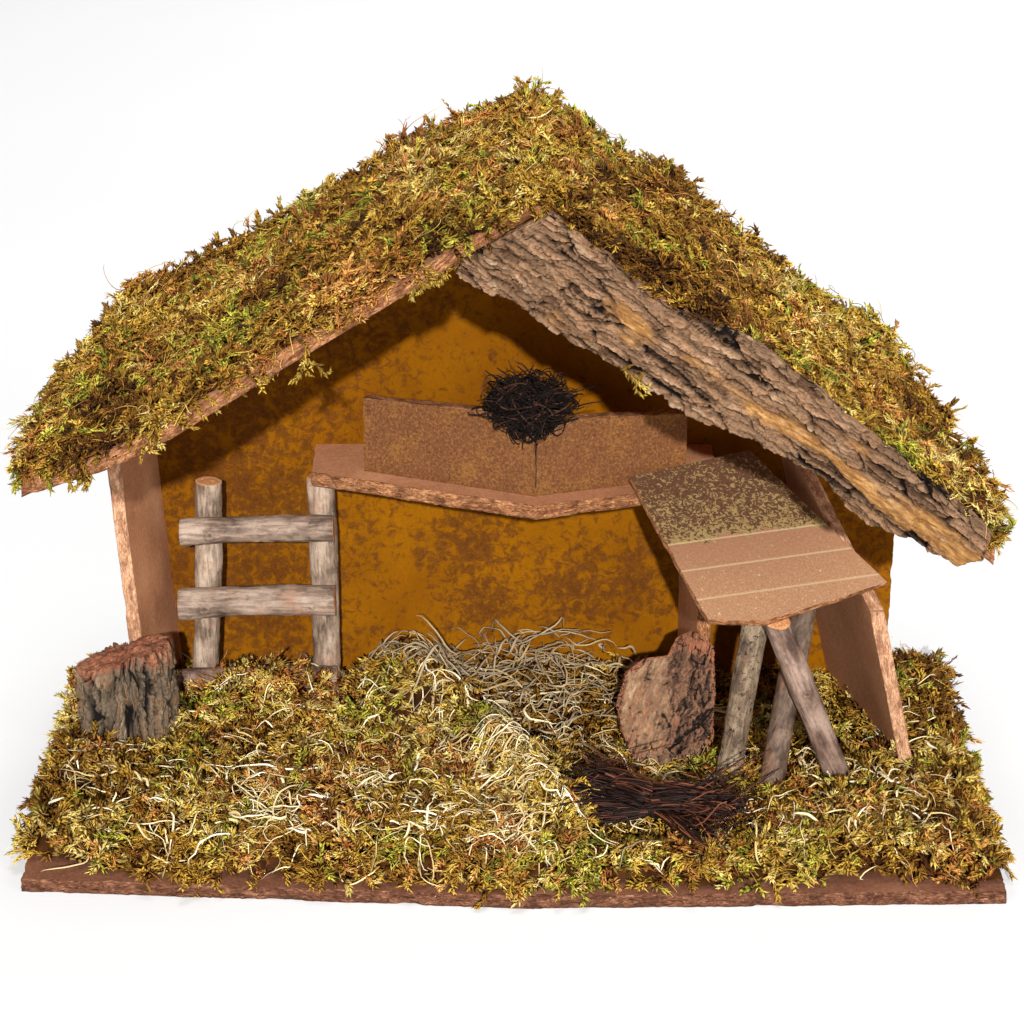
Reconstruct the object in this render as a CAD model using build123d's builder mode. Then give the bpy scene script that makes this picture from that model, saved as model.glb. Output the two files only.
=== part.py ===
"""Wooden nativity stable: fibreboard walls and roof, twig ladder, bark and moss, in millimetres.

The origin is under the middle of the base board. X runs to the right, Y to the back and Z up.
"""
import math
import os

from build123d import *

# Base board: plan corners as shares of its width and depth
base_width = 400
base_depth = 208
base_thickness = 6
base_shares = [(-0.5, -0.457), (0.01, -0.524), (0.5, -0.505), (0.495, 0.486), (-0.502, 0.476)]

# Walls: each stands on the base and butts against the front face of the back wall
wall_thickness = 6
back_face_y = 86
back_wall_right_x = 174
back_wall_lip = 3
left_wall_x = -152
left_wall_depth = 52
left_wall_splay = 10
left_wall_lean = 3.8
right_wall_x = 148
right_wall_depth = 104
right_wall_splay = 12
right_wall_lean = 13
divider_x = 76.5
divider_depth = 58
divider_splay = 5

# Roof panels: the plan runs from the ridge, as shares of the run and of the depth from the rear edge
ridge_x = 8
ridge_height = 284
roof_thickness = 6
roof_depth = 208
roof_left_run = 203
roof_left_slope = 28
roof_right_run = 182
roof_right_slope = 36
roof_left_shares = [(0, 0), (0, 0.76), (0.18, 0.83), (0.44, 0.91), (0.665, 0.995), (0.79, 0.985),
                    (0.97, 0.885), (1, 0.525), (0.97, 0.355), (0.91, 0.2), (0.86, 0)]
roof_right_shares = [(0, 0), (0, 0.76), (0.978, 0.923), (1, 0.79), (0.95, 0.635), (0.918, 0.395),
                     (0.88, 0.145), (0.835, 0)]
roof_moss_thickness = 9
roof_moss_inset = 2
roof_moss_taper = 25
roof_moss_ridge_cover = 5

# Bark strip in front of the right verge: shares of its length, and of its width below the roof's top face
bark_length = 186
bark_width = 46
bark_thickness = 12
bark_shares = [(0.005, -0.04), (0.28, 0.03), (0.46, -0.25), (0.67, -0.21), (0.965, -0.13), (0.95, 0.12),
               (0.9, 0.34), (0.835, 0.4), (0.74, 0.49), (0.57, 0.49), (0.34, 0.74), (0.1, 0.88),
               (-0.2, 1.04), (-0.2, -0.04)]

# Loft: a shelf with a blunt point in front, shares of its length and depth from the back wall
loft_height = 119
shelf_thickness = 6.5
shelf_length = 178
shelf_depth = 73
shelf_left_x = -88
shelf_point_share = 0.55
shelf_left_end_share = 0.465
shelf_right_end_share = 0.63
rail_thickness = 6
rail_height = 36
rail_setback = 9.5
rail_left_start_share = 0.2
rail_right_end_share = 0.86
rail_left_shares = [(0, 0.94), (0.71, 1.0), (0.93, 0.74), (1.1, 0.68)]
rail_right_shares = [(-0.1, 0.62), (0.06, 0.66), (0.33, 0.93), (0.96, 0.84), (1, 0.78)]

# Nest of fibres in the dip where the rails meet
nest_length = 46
nest_depth = 31
nest_height = 32
nest_sink = 5
nest_end_share = 0.5

# Ladder: two stiles and three rungs nailed across their fronts
ladder_y = 63
stile_left_foot_x = -141
stile_left_top_x = -134.5
stile_left_height = 117
stile_left_diameter = 12
stile_right_x = -85
stile_right_diameter = 12.4
rung_lap = 1.5
rung_top_diameter = 11.6
rung_middle_diameter = 13.6
rung_bottom_diameter = 11
rung_top_height = 96.5
rung_middle_height = 62
rung_bottom_height = 23
rung_rise = 2
rung_left_overhang = 11
rung_right_overhang = 6
twig_station_shares = [0, 0.35, 0.7, 1]
twig_taper_shares = [1.06, 0.97, 1.03, 0.94]
twig_bow_share = 0.07

# Canopy of the stall: lies on the shelf's right front edge and slopes down to the props
canopy_thickness = 3
canopy_tilt = 24
canopy_start = 45
canopy_length = 90.5
canopy_width = 89.5
canopy_lap = 7
canopy_shares = [(0, 0), (0.65, -0.078), (1, 0.87), (0.326, 1), (0.064, 0.94), (0.054, 0.872)]

# Props: foot and head in plan
prop_diameter = 11
prop_left_foot_x = 91
prop_left_foot_y = -27
prop_left_head_x = 104.5
prop_left_head_y = -17.5
prop_right_foot_x = 144
prop_right_foot_y = -29
prop_right_head_x = 109.5
prop_right_head_y = -31
prop_rear_foot_x = 108
prop_rear_foot_y = -40
prop_rear_head_x = 127
prop_rear_head_y = -0.5

# Bark stump: plan and top as shares of its sizes
stump_width = 43
stump_depth = 24
stump_height = 47
stump_x = -169
stump_y = 20
stump_slope = 15
stump_shares = [(-0.5, -0.1), (-0.38, -0.42), (-0.08, -0.5), (0.12, -0.38), (0.36, -0.45), (0.5, -0.05),
                (0.42, 0.42), (0.05, 0.5), (-0.4, 0.38)]

# Bark slab that leans on the divider: outline as shares of its width and height
slab_width = 42
slab_height = 60
slab_thickness = 8
slab_x = 67
slab_lean = 26
slab_shares = [(-0.28, 0), (0.42, 0), (0.5, 0.3), (0.5, 0.64), (0.48, 0.89), (0.29, 1.0), (0.12, 0.94),
               (0.0, 0.82), (-0.22, 0.8), (-0.42, 0.68), (-0.5, 0.45), (-0.46, 0.27)]

# Brushwood bundle: sections along it, as shares of its length, breadth and height
bundle_length = 80
bundle_breadth = 36
bundle_height = 20
bundle_x = 60
bundle_y = -63
bundle_turn = -20
bundle_shares = [(-0.5, 0.8, 0.7), (-0.2, 0.62, 0.8), (0.0, 0.44, 0.7), (0.24, 0.7, 0.85), (0.5, 1.0, 0.8)]
bundle_sink_share = 0.12
tie_width = 3
tie_thickness = 1.2

# Ground moss: plan corners as shares of the base's width and depth
ground_moss_thickness = 10
ground_left_shares = [(-0.485, -0.36), (-0.3, -0.44), (0.045, -0.47), (0.05, -0.12), (-0.03, 0.02),
                      (-0.19, 0.1), (-0.2, 0.4), (-0.34, 0.4), (-0.49, 0.4)]
ground_right_shares = [(0.05, -0.47), (0.3, -0.485), (0.487, -0.45), (0.48, 0.42), (0.4, 0.42),
                       (0.38, -0.02), (0.24, -0.02), (0.055, -0.12)]
mound_height = 18
mound_taper = 24
mound_shares = [(-0.185, 0.11), (-0.02, 0.04), (0.1, 0.06), (0.18, 0.16), (0.185, 0.4), (-0.18, 0.4)]

# Nails: flat head flush with the board, plain shank
nail_head_diameter = 3
nail_head_thickness = 0.6
nail_diameter = 1.3
nail_length = 18
brad_length = 15
brad_sink = 1
nail_end_share = 0.2
roof_nail_shares = [0.2, 0.5, 0.75]

cut_overrun = 40

os.makedirs("parts", exist_ok=True)


def scaled(shares, width, depth):
    """Turn shares into points."""
    return [(x * width, y * depth) for x, y in shares]


def finish(piece, name):
    """Label a finished piece and write it out."""
    piece.part.label = name
    export_step(piece.part, "parts/" + name + ".step")


def lean_plane(origin, along, inward, lean):
    """Plane of a wall face: local X along the foot, local Y up the wall, Z out of the face towards inward.

    A positive lean tips the top of the wall towards inward.
    """
    turn = math.radians(lean)
    normal = inward * math.cos(turn) - Vector(0, 0, 1) * math.sin(turn)
    return Plane(origin=origin, x_dir=along, z_dir=normal)


def height_on(plane, x, y):
    """Height of a sloping plane above a point of the plan."""
    normal = plane.z_dir
    origin = plane.origin
    return origin.Z - (normal.X * (x - origin.X) + normal.Y * (y - origin.Y)) / normal.Z


# Reference planes
base_top = Plane.XY.offset(base_thickness)
back_face = Plane(origin=(0, back_face_y, 0), x_dir=(1, 0, 0), z_dir=(0, -1, 0))
back_rear_y = back_face_y + wall_thickness

left_angle = math.radians(roof_left_slope)
right_angle = math.radians(roof_right_slope)
ridge = Vector(ridge_x, 0, ridge_height)
roof_left_top = Plane(origin=ridge, x_dir=(math.cos(left_angle), 0, math.sin(left_angle)),
                      z_dir=(-math.sin(left_angle), 0, math.cos(left_angle)))
roof_right_top = Plane(origin=ridge, x_dir=(math.cos(right_angle), 0, -math.sin(right_angle)),
                       z_dir=(math.sin(right_angle), 0, math.cos(right_angle)))
roof_left_under = roof_left_top.offset(-roof_thickness)
roof_right_under = roof_right_top.offset(-roof_thickness)

left_turn = math.radians(left_wall_splay)
left_along = Vector(-math.sin(left_turn), -math.cos(left_turn), 0)
left_outward = Vector(-math.cos(left_turn), math.sin(left_turn), 0)
left_foot_corner = Vector(left_wall_x, back_face_y, base_thickness)
left_face = lean_plane(left_foot_corner, left_along, left_outward, left_wall_lean)
right_turn = math.radians(right_wall_splay)
right_along = Vector(math.sin(right_turn), -math.cos(right_turn), 0)
right_inward = Vector(-math.cos(right_turn), -math.sin(right_turn), 0)
right_foot_corner = Vector(right_wall_x, back_face_y, base_thickness)
right_face = lean_plane(right_foot_corner, right_along, right_inward, right_wall_lean)
divider_turn = math.radians(divider_splay)
divider_along = Vector(math.sin(divider_turn), -math.cos(divider_turn), 0)
divider_inward = Vector(-math.cos(divider_turn), -math.sin(divider_turn), 0)
divider_foot_corner = Vector(divider_x, back_face_y, base_thickness)
divider_face = lean_plane(divider_foot_corner, divider_along, divider_inward, 0)

shelf_top = loft_height + shelf_thickness
shelf_right_x = shelf_left_x + shelf_length
shelf_point = Vector(shelf_left_x + shelf_point_share * shelf_length, back_face_y - shelf_depth, shelf_top)
shelf_left_front = Vector(shelf_left_x, back_face_y - shelf_left_end_share * shelf_depth, shelf_top)
shelf_right_front = Vector(shelf_right_x, back_face_y - shelf_right_end_share * shelf_depth, shelf_top)

canopy_along = (shelf_right_front - shelf_point).normalized()
canopy_fall = Vector(canopy_along.Y, -canopy_along.X, 0)
tilt = math.radians(canopy_tilt)
canopy_under = Plane(origin=shelf_point, x_dir=canopy_along,
                     z_dir=canopy_fall * math.sin(tilt) + Vector(0, 0, 1) * math.cos(tilt))
canopy_top = canopy_under.offset(canopy_thickness)


# Nails, first, so that every board they pass through can be cut to them
def nails(planes, length):
    """A group of nails: each plane lies on the head's top and points into the board."""
    with BuildPart() as group:
        for plane in planes:
            with BuildSketch(plane):
                Circle(nail_head_diameter / 2)
            extrude(amount=nail_head_thickness)
            with BuildSketch(plane):
                Circle(nail_diameter / 2)
            extrude(amount=length)
    return group


def foot_nail(face, along, side, share, depth):
    """Plane of a nail driven up through the base into a wall's foot."""
    rise = nail_length - base_thickness
    middle = face.origin + along * (share * depth) + face.y_dir * (rise / 2) + side * (wall_thickness / 2)
    return Plane(origin=(middle.X, middle.Y, 0), z_dir=(0, 0, 1))


end_shares = (nail_end_share, 1 - nail_end_share)
foot_planes = []
for share in end_shares:
    foot_planes.append(foot_nail(left_face, left_along, left_face.z_dir, share, left_wall_depth))
    foot_planes.append(foot_nail(right_face, right_along, -right_face.z_dir, share, right_wall_depth))
    foot_planes.append(foot_nail(divider_face, divider_along, -divider_face.z_dir, share, divider_depth))
    back_nail_x = left_wall_x + share * (back_wall_right_x - left_wall_x)
    foot_planes.append(Plane(origin=(back_nail_x, back_face_y + wall_thickness / 2, 0), z_dir=(0, 0, 1)))
base_nails = nails(foot_planes, nail_length)
finish(base_nails, "base_nails")


def rear_nail(face, side, height):
    """Plane of a nail driven through the back wall into the rear edge of a wall."""
    rise = (height - base_thickness) / face.y_dir.Z
    reach = nail_length - wall_thickness
    middle = face.origin + face.y_dir * rise + side * (wall_thickness / 2) + face.x_dir * (reach / 2)
    return Plane(origin=(middle.X, back_rear_y, height), z_dir=(0, -1, 0))


rear_planes = []
for share in end_shares:
    height = share * loft_height
    rear_planes.append(rear_nail(left_face, left_face.z_dir, height))
    rear_planes.append(rear_nail(right_face, -right_face.z_dir, height))
    rear_planes.append(rear_nail(divider_face, -divider_face.z_dir, height))
    shelf_nail_x = shelf_left_x + share * shelf_length
    shelf_nail_z = loft_height + shelf_thickness / 2
    rear_planes.append(Plane(origin=(shelf_nail_x, back_rear_y, shelf_nail_z), z_dir=(0, -1, 0)))
wall_nails = nails(rear_planes, nail_length)
finish(wall_nails, "wall_nails")


def roof_nail(top, x, y):
    """Plane of a nail driven square through a roof panel."""
    return Plane(origin=(x, y, height_on(top, x, y)), z_dir=-top.z_dir)


gable_y = back_face_y + wall_thickness / 2
left_gable_run = ridge_x - left_wall_x
right_gable_run = back_wall_right_x - ridge_x
roof_planes = []
for share in roof_nail_shares:
    roof_planes.append(roof_nail(roof_left_top, ridge_x - share * left_gable_run, gable_y))
    roof_planes.append(roof_nail(roof_right_top, ridge_x + share * right_gable_run, gable_y))
roof_nails = nails(roof_planes, nail_length)
finish(roof_nails, "roof_nails")

# Base board
with BuildPart() as base_board:
    with BuildSketch():
        Polygon(*scaled(base_shares, base_width, base_depth), align=None)
    extrude(amount=base_thickness)
    add(base_nails.part, mode=Mode.SUBTRACT)
finish(base_board, "base_board")

# Back wall: a gable cut to the undersides of both roof panels
back_left_x = left_wall_x - wall_thickness - back_wall_lip
back_left_drift = ridge_height * math.tan(math.radians(left_wall_lean))
with BuildPart() as back_wall:
    with BuildSketch(Plane(origin=(0, back_rear_y, 0), x_dir=(1, 0, 0), z_dir=(0, -1, 0))):
        Polygon((back_left_x, base_thickness), (back_wall_right_x, base_thickness),
                (back_wall_right_x, ridge_height), (back_left_x - back_left_drift, ridge_height),
                align=None)
    extrude(amount=wall_thickness)
    split(bisect_by=roof_left_under, keep=Keep.BOTTOM)
    split(bisect_by=roof_right_under, keep=Keep.BOTTOM)
    for group in (base_nails, wall_nails, roof_nails):
        add(group.part, mode=Mode.SUBTRACT)
finish(back_wall, "back_wall")

# Left wall: splayed and leaning out, cut to the roof, the back wall and the base
with BuildPart() as left_wall:
    with BuildSketch(left_face):
        with Locations((-cut_overrun, -cut_overrun)):
            Rectangle(left_wall_depth + cut_overrun, ridge_height + cut_overrun,
                      align=(Align.MIN, Align.MIN))
    extrude(amount=wall_thickness)
    split(bisect_by=back_face, keep=Keep.TOP)
    split(bisect_by=base_top, keep=Keep.TOP)
    split(bisect_by=roof_left_under, keep=Keep.BOTTOM)
    add(base_nails.part, mode=Mode.SUBTRACT)
    add(wall_nails.part, mode=Mode.SUBTRACT)
finish(left_wall, "left_wall")

# Right wall: low, leaning in, its top cut to the canopy
with BuildPart() as right_wall:
    with BuildSketch(right_face):
        with Locations((-cut_overrun, -cut_overrun)):
            Rectangle(right_wall_depth + cut_overrun, ridge_height + cut_overrun,
                      align=(Align.MIN, Align.MIN))
    extrude(amount=-wall_thickness)
    split(bisect_by=back_face, keep=Keep.TOP)
    split(bisect_by=base_top, keep=Keep.TOP)
    split(bisect_by=canopy_under, keep=Keep.BOTTOM)
    add(base_nails.part, mode=Mode.SUBTRACT)
    add(wall_nails.part, mode=Mode.SUBTRACT)
finish(right_wall, "right_wall")

# Loft shelf
with BuildPart() as loft_shelf:
    with BuildSketch(Plane.XY.offset(loft_height)):
        Polygon((shelf_left_x, back_face_y), (shelf_left_front.X, shelf_left_front.Y),
                (shelf_point.X, shelf_point.Y), (shelf_right_front.X, shelf_right_front.Y),
                (shelf_right_x, back_face_y), align=None)
    extrude(amount=shelf_thickness)
    add(wall_nails.part, mode=Mode.SUBTRACT)
finish(loft_shelf, "loft_shelf")

# Divider: carries the right end of the shelf, its front cut clear of the canopy
with BuildPart() as divider:
    with BuildSketch(divider_face):
        with Locations((-cut_overrun, 0)):
            Rectangle(divider_depth + cut_overrun, loft_height - base_thickness,
                      align=(Align.MIN, Align.MIN))
    extrude(amount=-wall_thickness)
    split(bisect_by=back_face, keep=Keep.TOP)
    split(bisect_by=canopy_under, keep=Keep.BOTTOM)
    add(base_nails.part, mode=Mode.SUBTRACT)
    add(wall_nails.part, mode=Mode.SUBTRACT)
finish(divider, "divider")


# Roof panels: plumb edges, meeting plumb at the ridge
def roof_points(shares, run, side):
    """Plan corners of a roof panel on one side of the ridge."""
    return [(ridge_x + side * x * run, back_rear_y - y * roof_depth) for x, y in shares]


def roof_panel(points, lower, upper):
    """A board over a plan outline between two sloping planes, cut to its nails."""
    with BuildPart() as panel:
        with BuildSketch():
            Polygon(*points, align=None)
        extrude(amount=ridge_height + cut_overrun)
        split(bisect_by=lower, keep=Keep.TOP)
        split(bisect_by=upper, keep=Keep.BOTTOM)
        add(roof_nails.part, mode=Mode.SUBTRACT)
    return panel


left_points = roof_points(roof_left_shares, roof_left_run, -1)
right_points = roof_points(roof_right_shares, roof_right_run, 1)
roof_left = roof_panel(left_points, roof_left_under, roof_left_top)
finish(roof_left, "roof_left")
roof_right = roof_panel(right_points, roof_right_under, roof_right_top)
finish(roof_right, "roof_right")

# Roof moss: a mat over each panel with a sloping rim, cut plumb at the ridge and worn low over it
ridge_cut = Plane(origin=(ridge_x, 0, 0), z_dir=(1, 0, 0))
for name, points, top, angle, side in (("roof_moss_left", left_points, roof_left_top, left_angle, -1),
                                       ("roof_moss_right", right_points, roof_right_top, right_angle, 1)):
    on_slope = [((x - ridge_x) / math.cos(angle), y) for x, y in points]
    past_ridge = -side * (roof_moss_thickness + roof_moss_inset)
    with BuildPart() as roof_moss:
        with BuildSketch(top):
            Polygon(*[(x if x else past_ridge, y) for x, y in on_slope], align=None)
            offset(amount=-roof_moss_inset, kind=Kind.INTERSECTION)
        extrude(amount=roof_moss_thickness, taper=roof_moss_taper)
        split(bisect_by=ridge_cut, keep=Keep.TOP if side > 0 else Keep.BOTTOM)
        split(bisect_by=Plane.XY.offset(ridge_height + roof_moss_ridge_cover), keep=Keep.BOTTOM)
    finish(roof_moss, name)

# Bark strip: stands against the front edge of the right panel, its top end under the left panel
verge_start = Vector(*right_points[1], 0)
verge_end = Vector(*right_points[2], 0)
verge_along = (verge_end - verge_start).normalized()
verge_front = Vector(verge_along.Y, -verge_along.X, 0)
verge_fall = math.tan(right_angle) * verge_along.X
verge_plane = Plane(origin=(verge_start.X, verge_start.Y, ridge_height), x_dir=verge_along,
                    z_dir=verge_front)
bark_points = [(x * bark_length, -x * bark_length * verge_fall - y * bark_width) for x, y in bark_shares]
with BuildPart() as roof_bark:
    with BuildSketch(verge_plane):
        Polygon(*bark_points, align=None)
    extrude(amount=bark_thickness)
    split(bisect_by=roof_left_under, keep=Keep.BOTTOM)
finish(roof_bark, "roof_bark")


# Loft rails: boards on edge, following the two front edges of the shelf and mitred plumb at its point
def loft_rail(start, end, first_share, last_share, shares, keep):
    """A rail along part of a shelf edge, with its top as shares of its length and height."""
    along = (end - start).normalized()
    front = Vector(along.Y, -along.X, 0)
    span = (end - start).length
    length = (last_share - first_share) * span
    corner = start + along * (first_share * span) - front * rail_setback
    top = [(x * length, y * rail_height) for x, y in shares]
    with BuildPart() as rail:
        with BuildSketch(Plane(origin=corner, x_dir=along, z_dir=front)):
            Polygon((top[0][0], 0), *top, (top[-1][0], 0), align=None)
        extrude(amount=-rail_thickness)
        split(bisect_by=Plane(origin=shelf_point, z_dir=(1, 0, 0)), keep=keep)
    return rail


rail_left = loft_rail(shelf_left_front, shelf_point, rail_left_start_share, 1, rail_left_shares,
                      Keep.BOTTOM)
finish(rail_left, "loft_rail_left")
rail_right = loft_rail(shelf_point, shelf_right_front, 0, rail_right_end_share, rail_right_shares,
                       Keep.TOP)
finish(rail_right, "loft_rail_right")

# Nest: an oval tuft seated in the dip of the rails
nest_z = shelf_top + rail_left_shares[-1][1] * rail_height - nest_sink + nest_height / 2
nest_y = shelf_point.Y + nest_depth / 2
nest_middle = Vector(shelf_point.X, nest_y, nest_z)
with BuildPart() as nest:
    for side in (1, -1):
        nest_end = nest_middle + Vector(0, 0, side * nest_height / 2)
        with BuildSketch(Plane(origin=nest_middle, z_dir=(0, 0, 1))):
            Ellipse(nest_length / 2, nest_depth / 2)
        with BuildSketch(Plane(origin=nest_end, z_dir=(0, 0, 1))):
            Ellipse(nest_end_share * nest_length / 2, nest_end_share * nest_depth / 2)
        loft(ruled=True)
    add(rail_left.part, mode=Mode.SUBTRACT)
    add(rail_right.part, mode=Mode.SUBTRACT)
finish(nest, "nest")


# Twigs: four round sections on a slightly bowed line
def twig(start, end, diameter, bow):
    """A stick from start to end, its middle bowed sideways."""
    chord = end - start
    side = bow * (twig_bow_share * diameter)
    with BuildPart() as stick:
        for station, share in zip(twig_station_shares, twig_taper_shares):
            swing = math.sin(math.pi * station)
            with BuildSketch(Plane(origin=start + chord * station + side * swing, z_dir=chord)):
                Circle(share * diameter / 2)
        loft(ruled=True)
    return stick


# Ladder: stiles on the base, rungs lapped over the stiles' fronts
rungs = (("ladder_rung_top", rung_top_height, rung_top_diameter),
         ("ladder_rung_middle", rung_middle_height, rung_middle_diameter),
         ("ladder_rung_bottom", rung_bottom_height, rung_bottom_diameter))
brad_planes = []
rung_lines = []
for name, height, diameter in rungs:
    rise = (height - base_thickness) / (stile_left_height - base_thickness)
    left_x = stile_left_foot_x + rise * (stile_left_top_x - stile_left_foot_x)
    front_y = ladder_y - (stile_left_diameter + diameter) / 2 + rung_lap
    rung_lines.append((name, Vector(left_x - rung_left_overhang, front_y, height),
                       Vector(stile_right_x + rung_right_overhang, front_y, height + rung_rise), diameter))
    for x, z in ((left_x, height), (stile_right_x, height + rung_rise)):
        brad_planes.append(Plane(origin=(x, front_y - diameter / 2 + brad_sink, z), z_dir=(0, 1, 0)))
ladder_nails = nails(brad_planes, brad_length)
finish(ladder_nails, "ladder_nails")

left_foot = Vector(stile_left_foot_x, ladder_y, base_thickness)
left_head = Vector(stile_left_top_x, ladder_y, stile_left_height)
right_foot = Vector(stile_right_x, ladder_y, base_thickness)
right_head = Vector(stile_right_x, ladder_y, loft_height)
stiles = []
for name, foot, head, diameter in (("ladder_stile_left", left_foot, left_head, stile_left_diameter),
                                   ("ladder_stile_right", right_foot, right_head, stile_right_diameter)):
    stick = twig(foot, head, diameter, Vector(1, 0, 0))
    with BuildPart() as stile:
        add(stick.part)
        split(bisect_by=base_top, keep=Keep.TOP)
        add(ladder_nails.part, mode=Mode.SUBTRACT)
    stiles.append(stile)
    finish(stile, name)

rung_pieces = []
for name, start, end, diameter in rung_lines:
    stick = twig(start, end, diameter, Vector(0, 0, 1))
    with BuildPart() as rung:
        add(stick.part)
        for stile in stiles:
            add(stile.part, mode=Mode.SUBTRACT)
        add(ladder_nails.part, mode=Mode.SUBTRACT)
    rung_pieces.append(rung)
    finish(rung, name)

# Canopy: lies on the shelf's edge, its upper edge just short of the right rail
canopy_points = [(canopy_start + x * canopy_width, canopy_lap - y * canopy_length)
                 for x, y in canopy_shares]
with BuildPart() as canopy:
    with BuildSketch(canopy_under):
        Polygon(*canopy_points, align=None)
    extrude(amount=canopy_thickness)
    add(rail_right.part, mode=Mode.SUBTRACT)
finish(canopy, "canopy")


# Props: sticks from the base to the underside of the canopy
def prop(foot_x, foot_y, head_x, head_y):
    """A prop cut to the base and to the canopy."""
    foot = Vector(foot_x, foot_y, base_thickness)
    head = Vector(head_x, head_y, height_on(canopy_under, head_x, head_y))
    spare = (head - foot).normalized() * prop_diameter
    stick = twig(foot - spare, head + spare, prop_diameter, Vector(0, 1, 0))
    with BuildPart() as piece:
        add(stick.part)
        split(bisect_by=base_top, keep=Keep.TOP)
        split(bisect_by=canopy_under, keep=Keep.BOTTOM)
    return piece


prop_left = prop(prop_left_foot_x, prop_left_foot_y, prop_left_head_x, prop_left_head_y)
prop_right = prop(prop_right_foot_x, prop_right_foot_y, prop_right_head_x, prop_right_head_y)
prop_rear = prop(prop_rear_foot_x, prop_rear_foot_y, prop_rear_head_x, prop_rear_head_y)
finish(prop_left, "prop_left")
finish(prop_right, "prop_right")
finish(prop_rear, "prop_rear")

# Bark stump: rises to the right
stump_top = Plane(origin=(stump_x, stump_y, base_thickness + stump_height),
                  z_dir=(-math.sin(math.radians(stump_slope)), 0, math.cos(math.radians(stump_slope))))
with BuildPart() as stump:
    with BuildSketch(base_top):
        with Locations((stump_x, stump_y)):
            Polygon(*scaled(stump_shares, stump_width, stump_depth), align=None)
    extrude(amount=stump_height + stump_width)
    split(bisect_by=stump_top, keep=Keep.BOTTOM)
finish(stump, "bark_stump")

# Bark slab: leans back on the front edge of the divider
divider_front_y = back_face_y - divider_depth * math.cos(divider_turn)
slab_turn = math.radians(slab_lean)
slab_foot_y = divider_front_y - slab_height * math.sin(slab_turn)
slab_plane = Plane(origin=(slab_x, slab_foot_y, base_thickness), x_dir=(1, 0, 0),
                   z_dir=(0, -math.cos(slab_turn), math.sin(slab_turn)))
with BuildPart() as slab:
    with BuildSketch(slab_plane):
        Polygon(*scaled(slab_shares, slab_width, slab_height), align=None)
    extrude(amount=slab_thickness)
    split(bisect_by=base_top, keep=Keep.TOP)
finish(slab, "bark_slab")

# Ground moss: mats on the base round everything that stands there
standing = [left_wall, right_wall, divider, back_wall, stump, slab, prop_left, prop_right, prop_rear]
standing += stiles + rung_pieces + [base_nails, wall_nails, ladder_nails]
mats = []
for name, shares, height, taper in (("ground_moss_left", ground_left_shares, ground_moss_thickness, 0),
                                    ("ground_moss_right", ground_right_shares, ground_moss_thickness, 0),
                                    ("ground_mound", mound_shares, mound_height, mound_taper)):
    with BuildPart() as mat:
        with BuildSketch(base_top):
            Polygon(*scaled(shares, base_width, base_depth), align=None)
        extrude(amount=height, taper=taper)
        for piece in standing:
            add(piece.part, mode=Mode.SUBTRACT)
    mats.append(mat)
    finish(mat, name)

# Brushwood bundle: drawn in at the tie, lying on the moss
bundle_angle = math.radians(bundle_turn)
bundle_along = Vector(math.cos(bundle_angle), math.sin(bundle_angle), 0)
bundle_z = base_thickness + ground_moss_thickness + (0.5 - bundle_sink_share) * bundle_height
bundle_middle = Vector(bundle_x, bundle_y, bundle_z)
with BuildPart() as bundle:
    for along, breadth, height in bundle_shares:
        section = Plane(origin=bundle_middle + bundle_along * (along * bundle_length), x_dir=(0, 0, 1),
                        z_dir=bundle_along)
        with BuildSketch(section):
            Ellipse(height * bundle_height / 2, breadth * bundle_breadth / 2)
    loft(ruled=True)
    for mat in mats:
        add(mat.part, mode=Mode.SUBTRACT)
finish(bundle, "brushwood_bundle")

# Tie round the bundle's waist
waist = min(bundle_shares, key=lambda row: row[1])
waist_middle = bundle_middle + bundle_along * (waist[0] * bundle_length)
with BuildPart() as tie:
    with BuildSketch(Plane(origin=waist_middle, x_dir=(0, 0, 1), z_dir=bundle_along)):
        Ellipse(waist[2] * bundle_height / 2 + tie_thickness, waist[1] * bundle_breadth / 2 + tie_thickness)
    extrude(amount=tie_width / 2, both=True)
    add(bundle.part, mode=Mode.SUBTRACT)
    for mat in mats:
        add(mat.part, mode=Mode.SUBTRACT)
finish(tie, "bundle_tie")
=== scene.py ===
"""The looks of the wooden nativity stable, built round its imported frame, in metres."""
import itertools
import math

import bpy
import numpy as np
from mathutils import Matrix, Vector
from mathutils.bvhtree import BVHTree
from mathutils.geometry import tessellate_polygon


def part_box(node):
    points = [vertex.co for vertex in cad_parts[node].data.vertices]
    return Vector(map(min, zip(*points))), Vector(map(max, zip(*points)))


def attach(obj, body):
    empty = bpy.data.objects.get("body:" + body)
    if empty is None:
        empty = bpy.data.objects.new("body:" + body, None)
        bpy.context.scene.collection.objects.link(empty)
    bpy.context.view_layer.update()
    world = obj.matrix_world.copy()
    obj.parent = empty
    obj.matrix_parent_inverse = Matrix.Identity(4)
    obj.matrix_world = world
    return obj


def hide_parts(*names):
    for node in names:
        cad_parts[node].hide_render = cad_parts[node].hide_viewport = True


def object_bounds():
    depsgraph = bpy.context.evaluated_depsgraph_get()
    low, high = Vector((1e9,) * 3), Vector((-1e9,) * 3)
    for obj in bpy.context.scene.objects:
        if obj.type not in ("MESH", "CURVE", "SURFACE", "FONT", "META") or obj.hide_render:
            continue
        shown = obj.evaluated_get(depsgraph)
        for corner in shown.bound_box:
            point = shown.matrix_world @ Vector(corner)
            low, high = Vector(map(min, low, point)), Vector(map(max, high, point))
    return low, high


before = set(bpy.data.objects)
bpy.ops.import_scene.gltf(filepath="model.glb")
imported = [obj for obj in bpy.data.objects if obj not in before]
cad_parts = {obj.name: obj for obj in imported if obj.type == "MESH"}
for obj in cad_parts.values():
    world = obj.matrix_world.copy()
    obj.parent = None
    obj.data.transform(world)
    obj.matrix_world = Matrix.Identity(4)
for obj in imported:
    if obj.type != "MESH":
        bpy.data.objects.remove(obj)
cad_low, cad_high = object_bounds()

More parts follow.
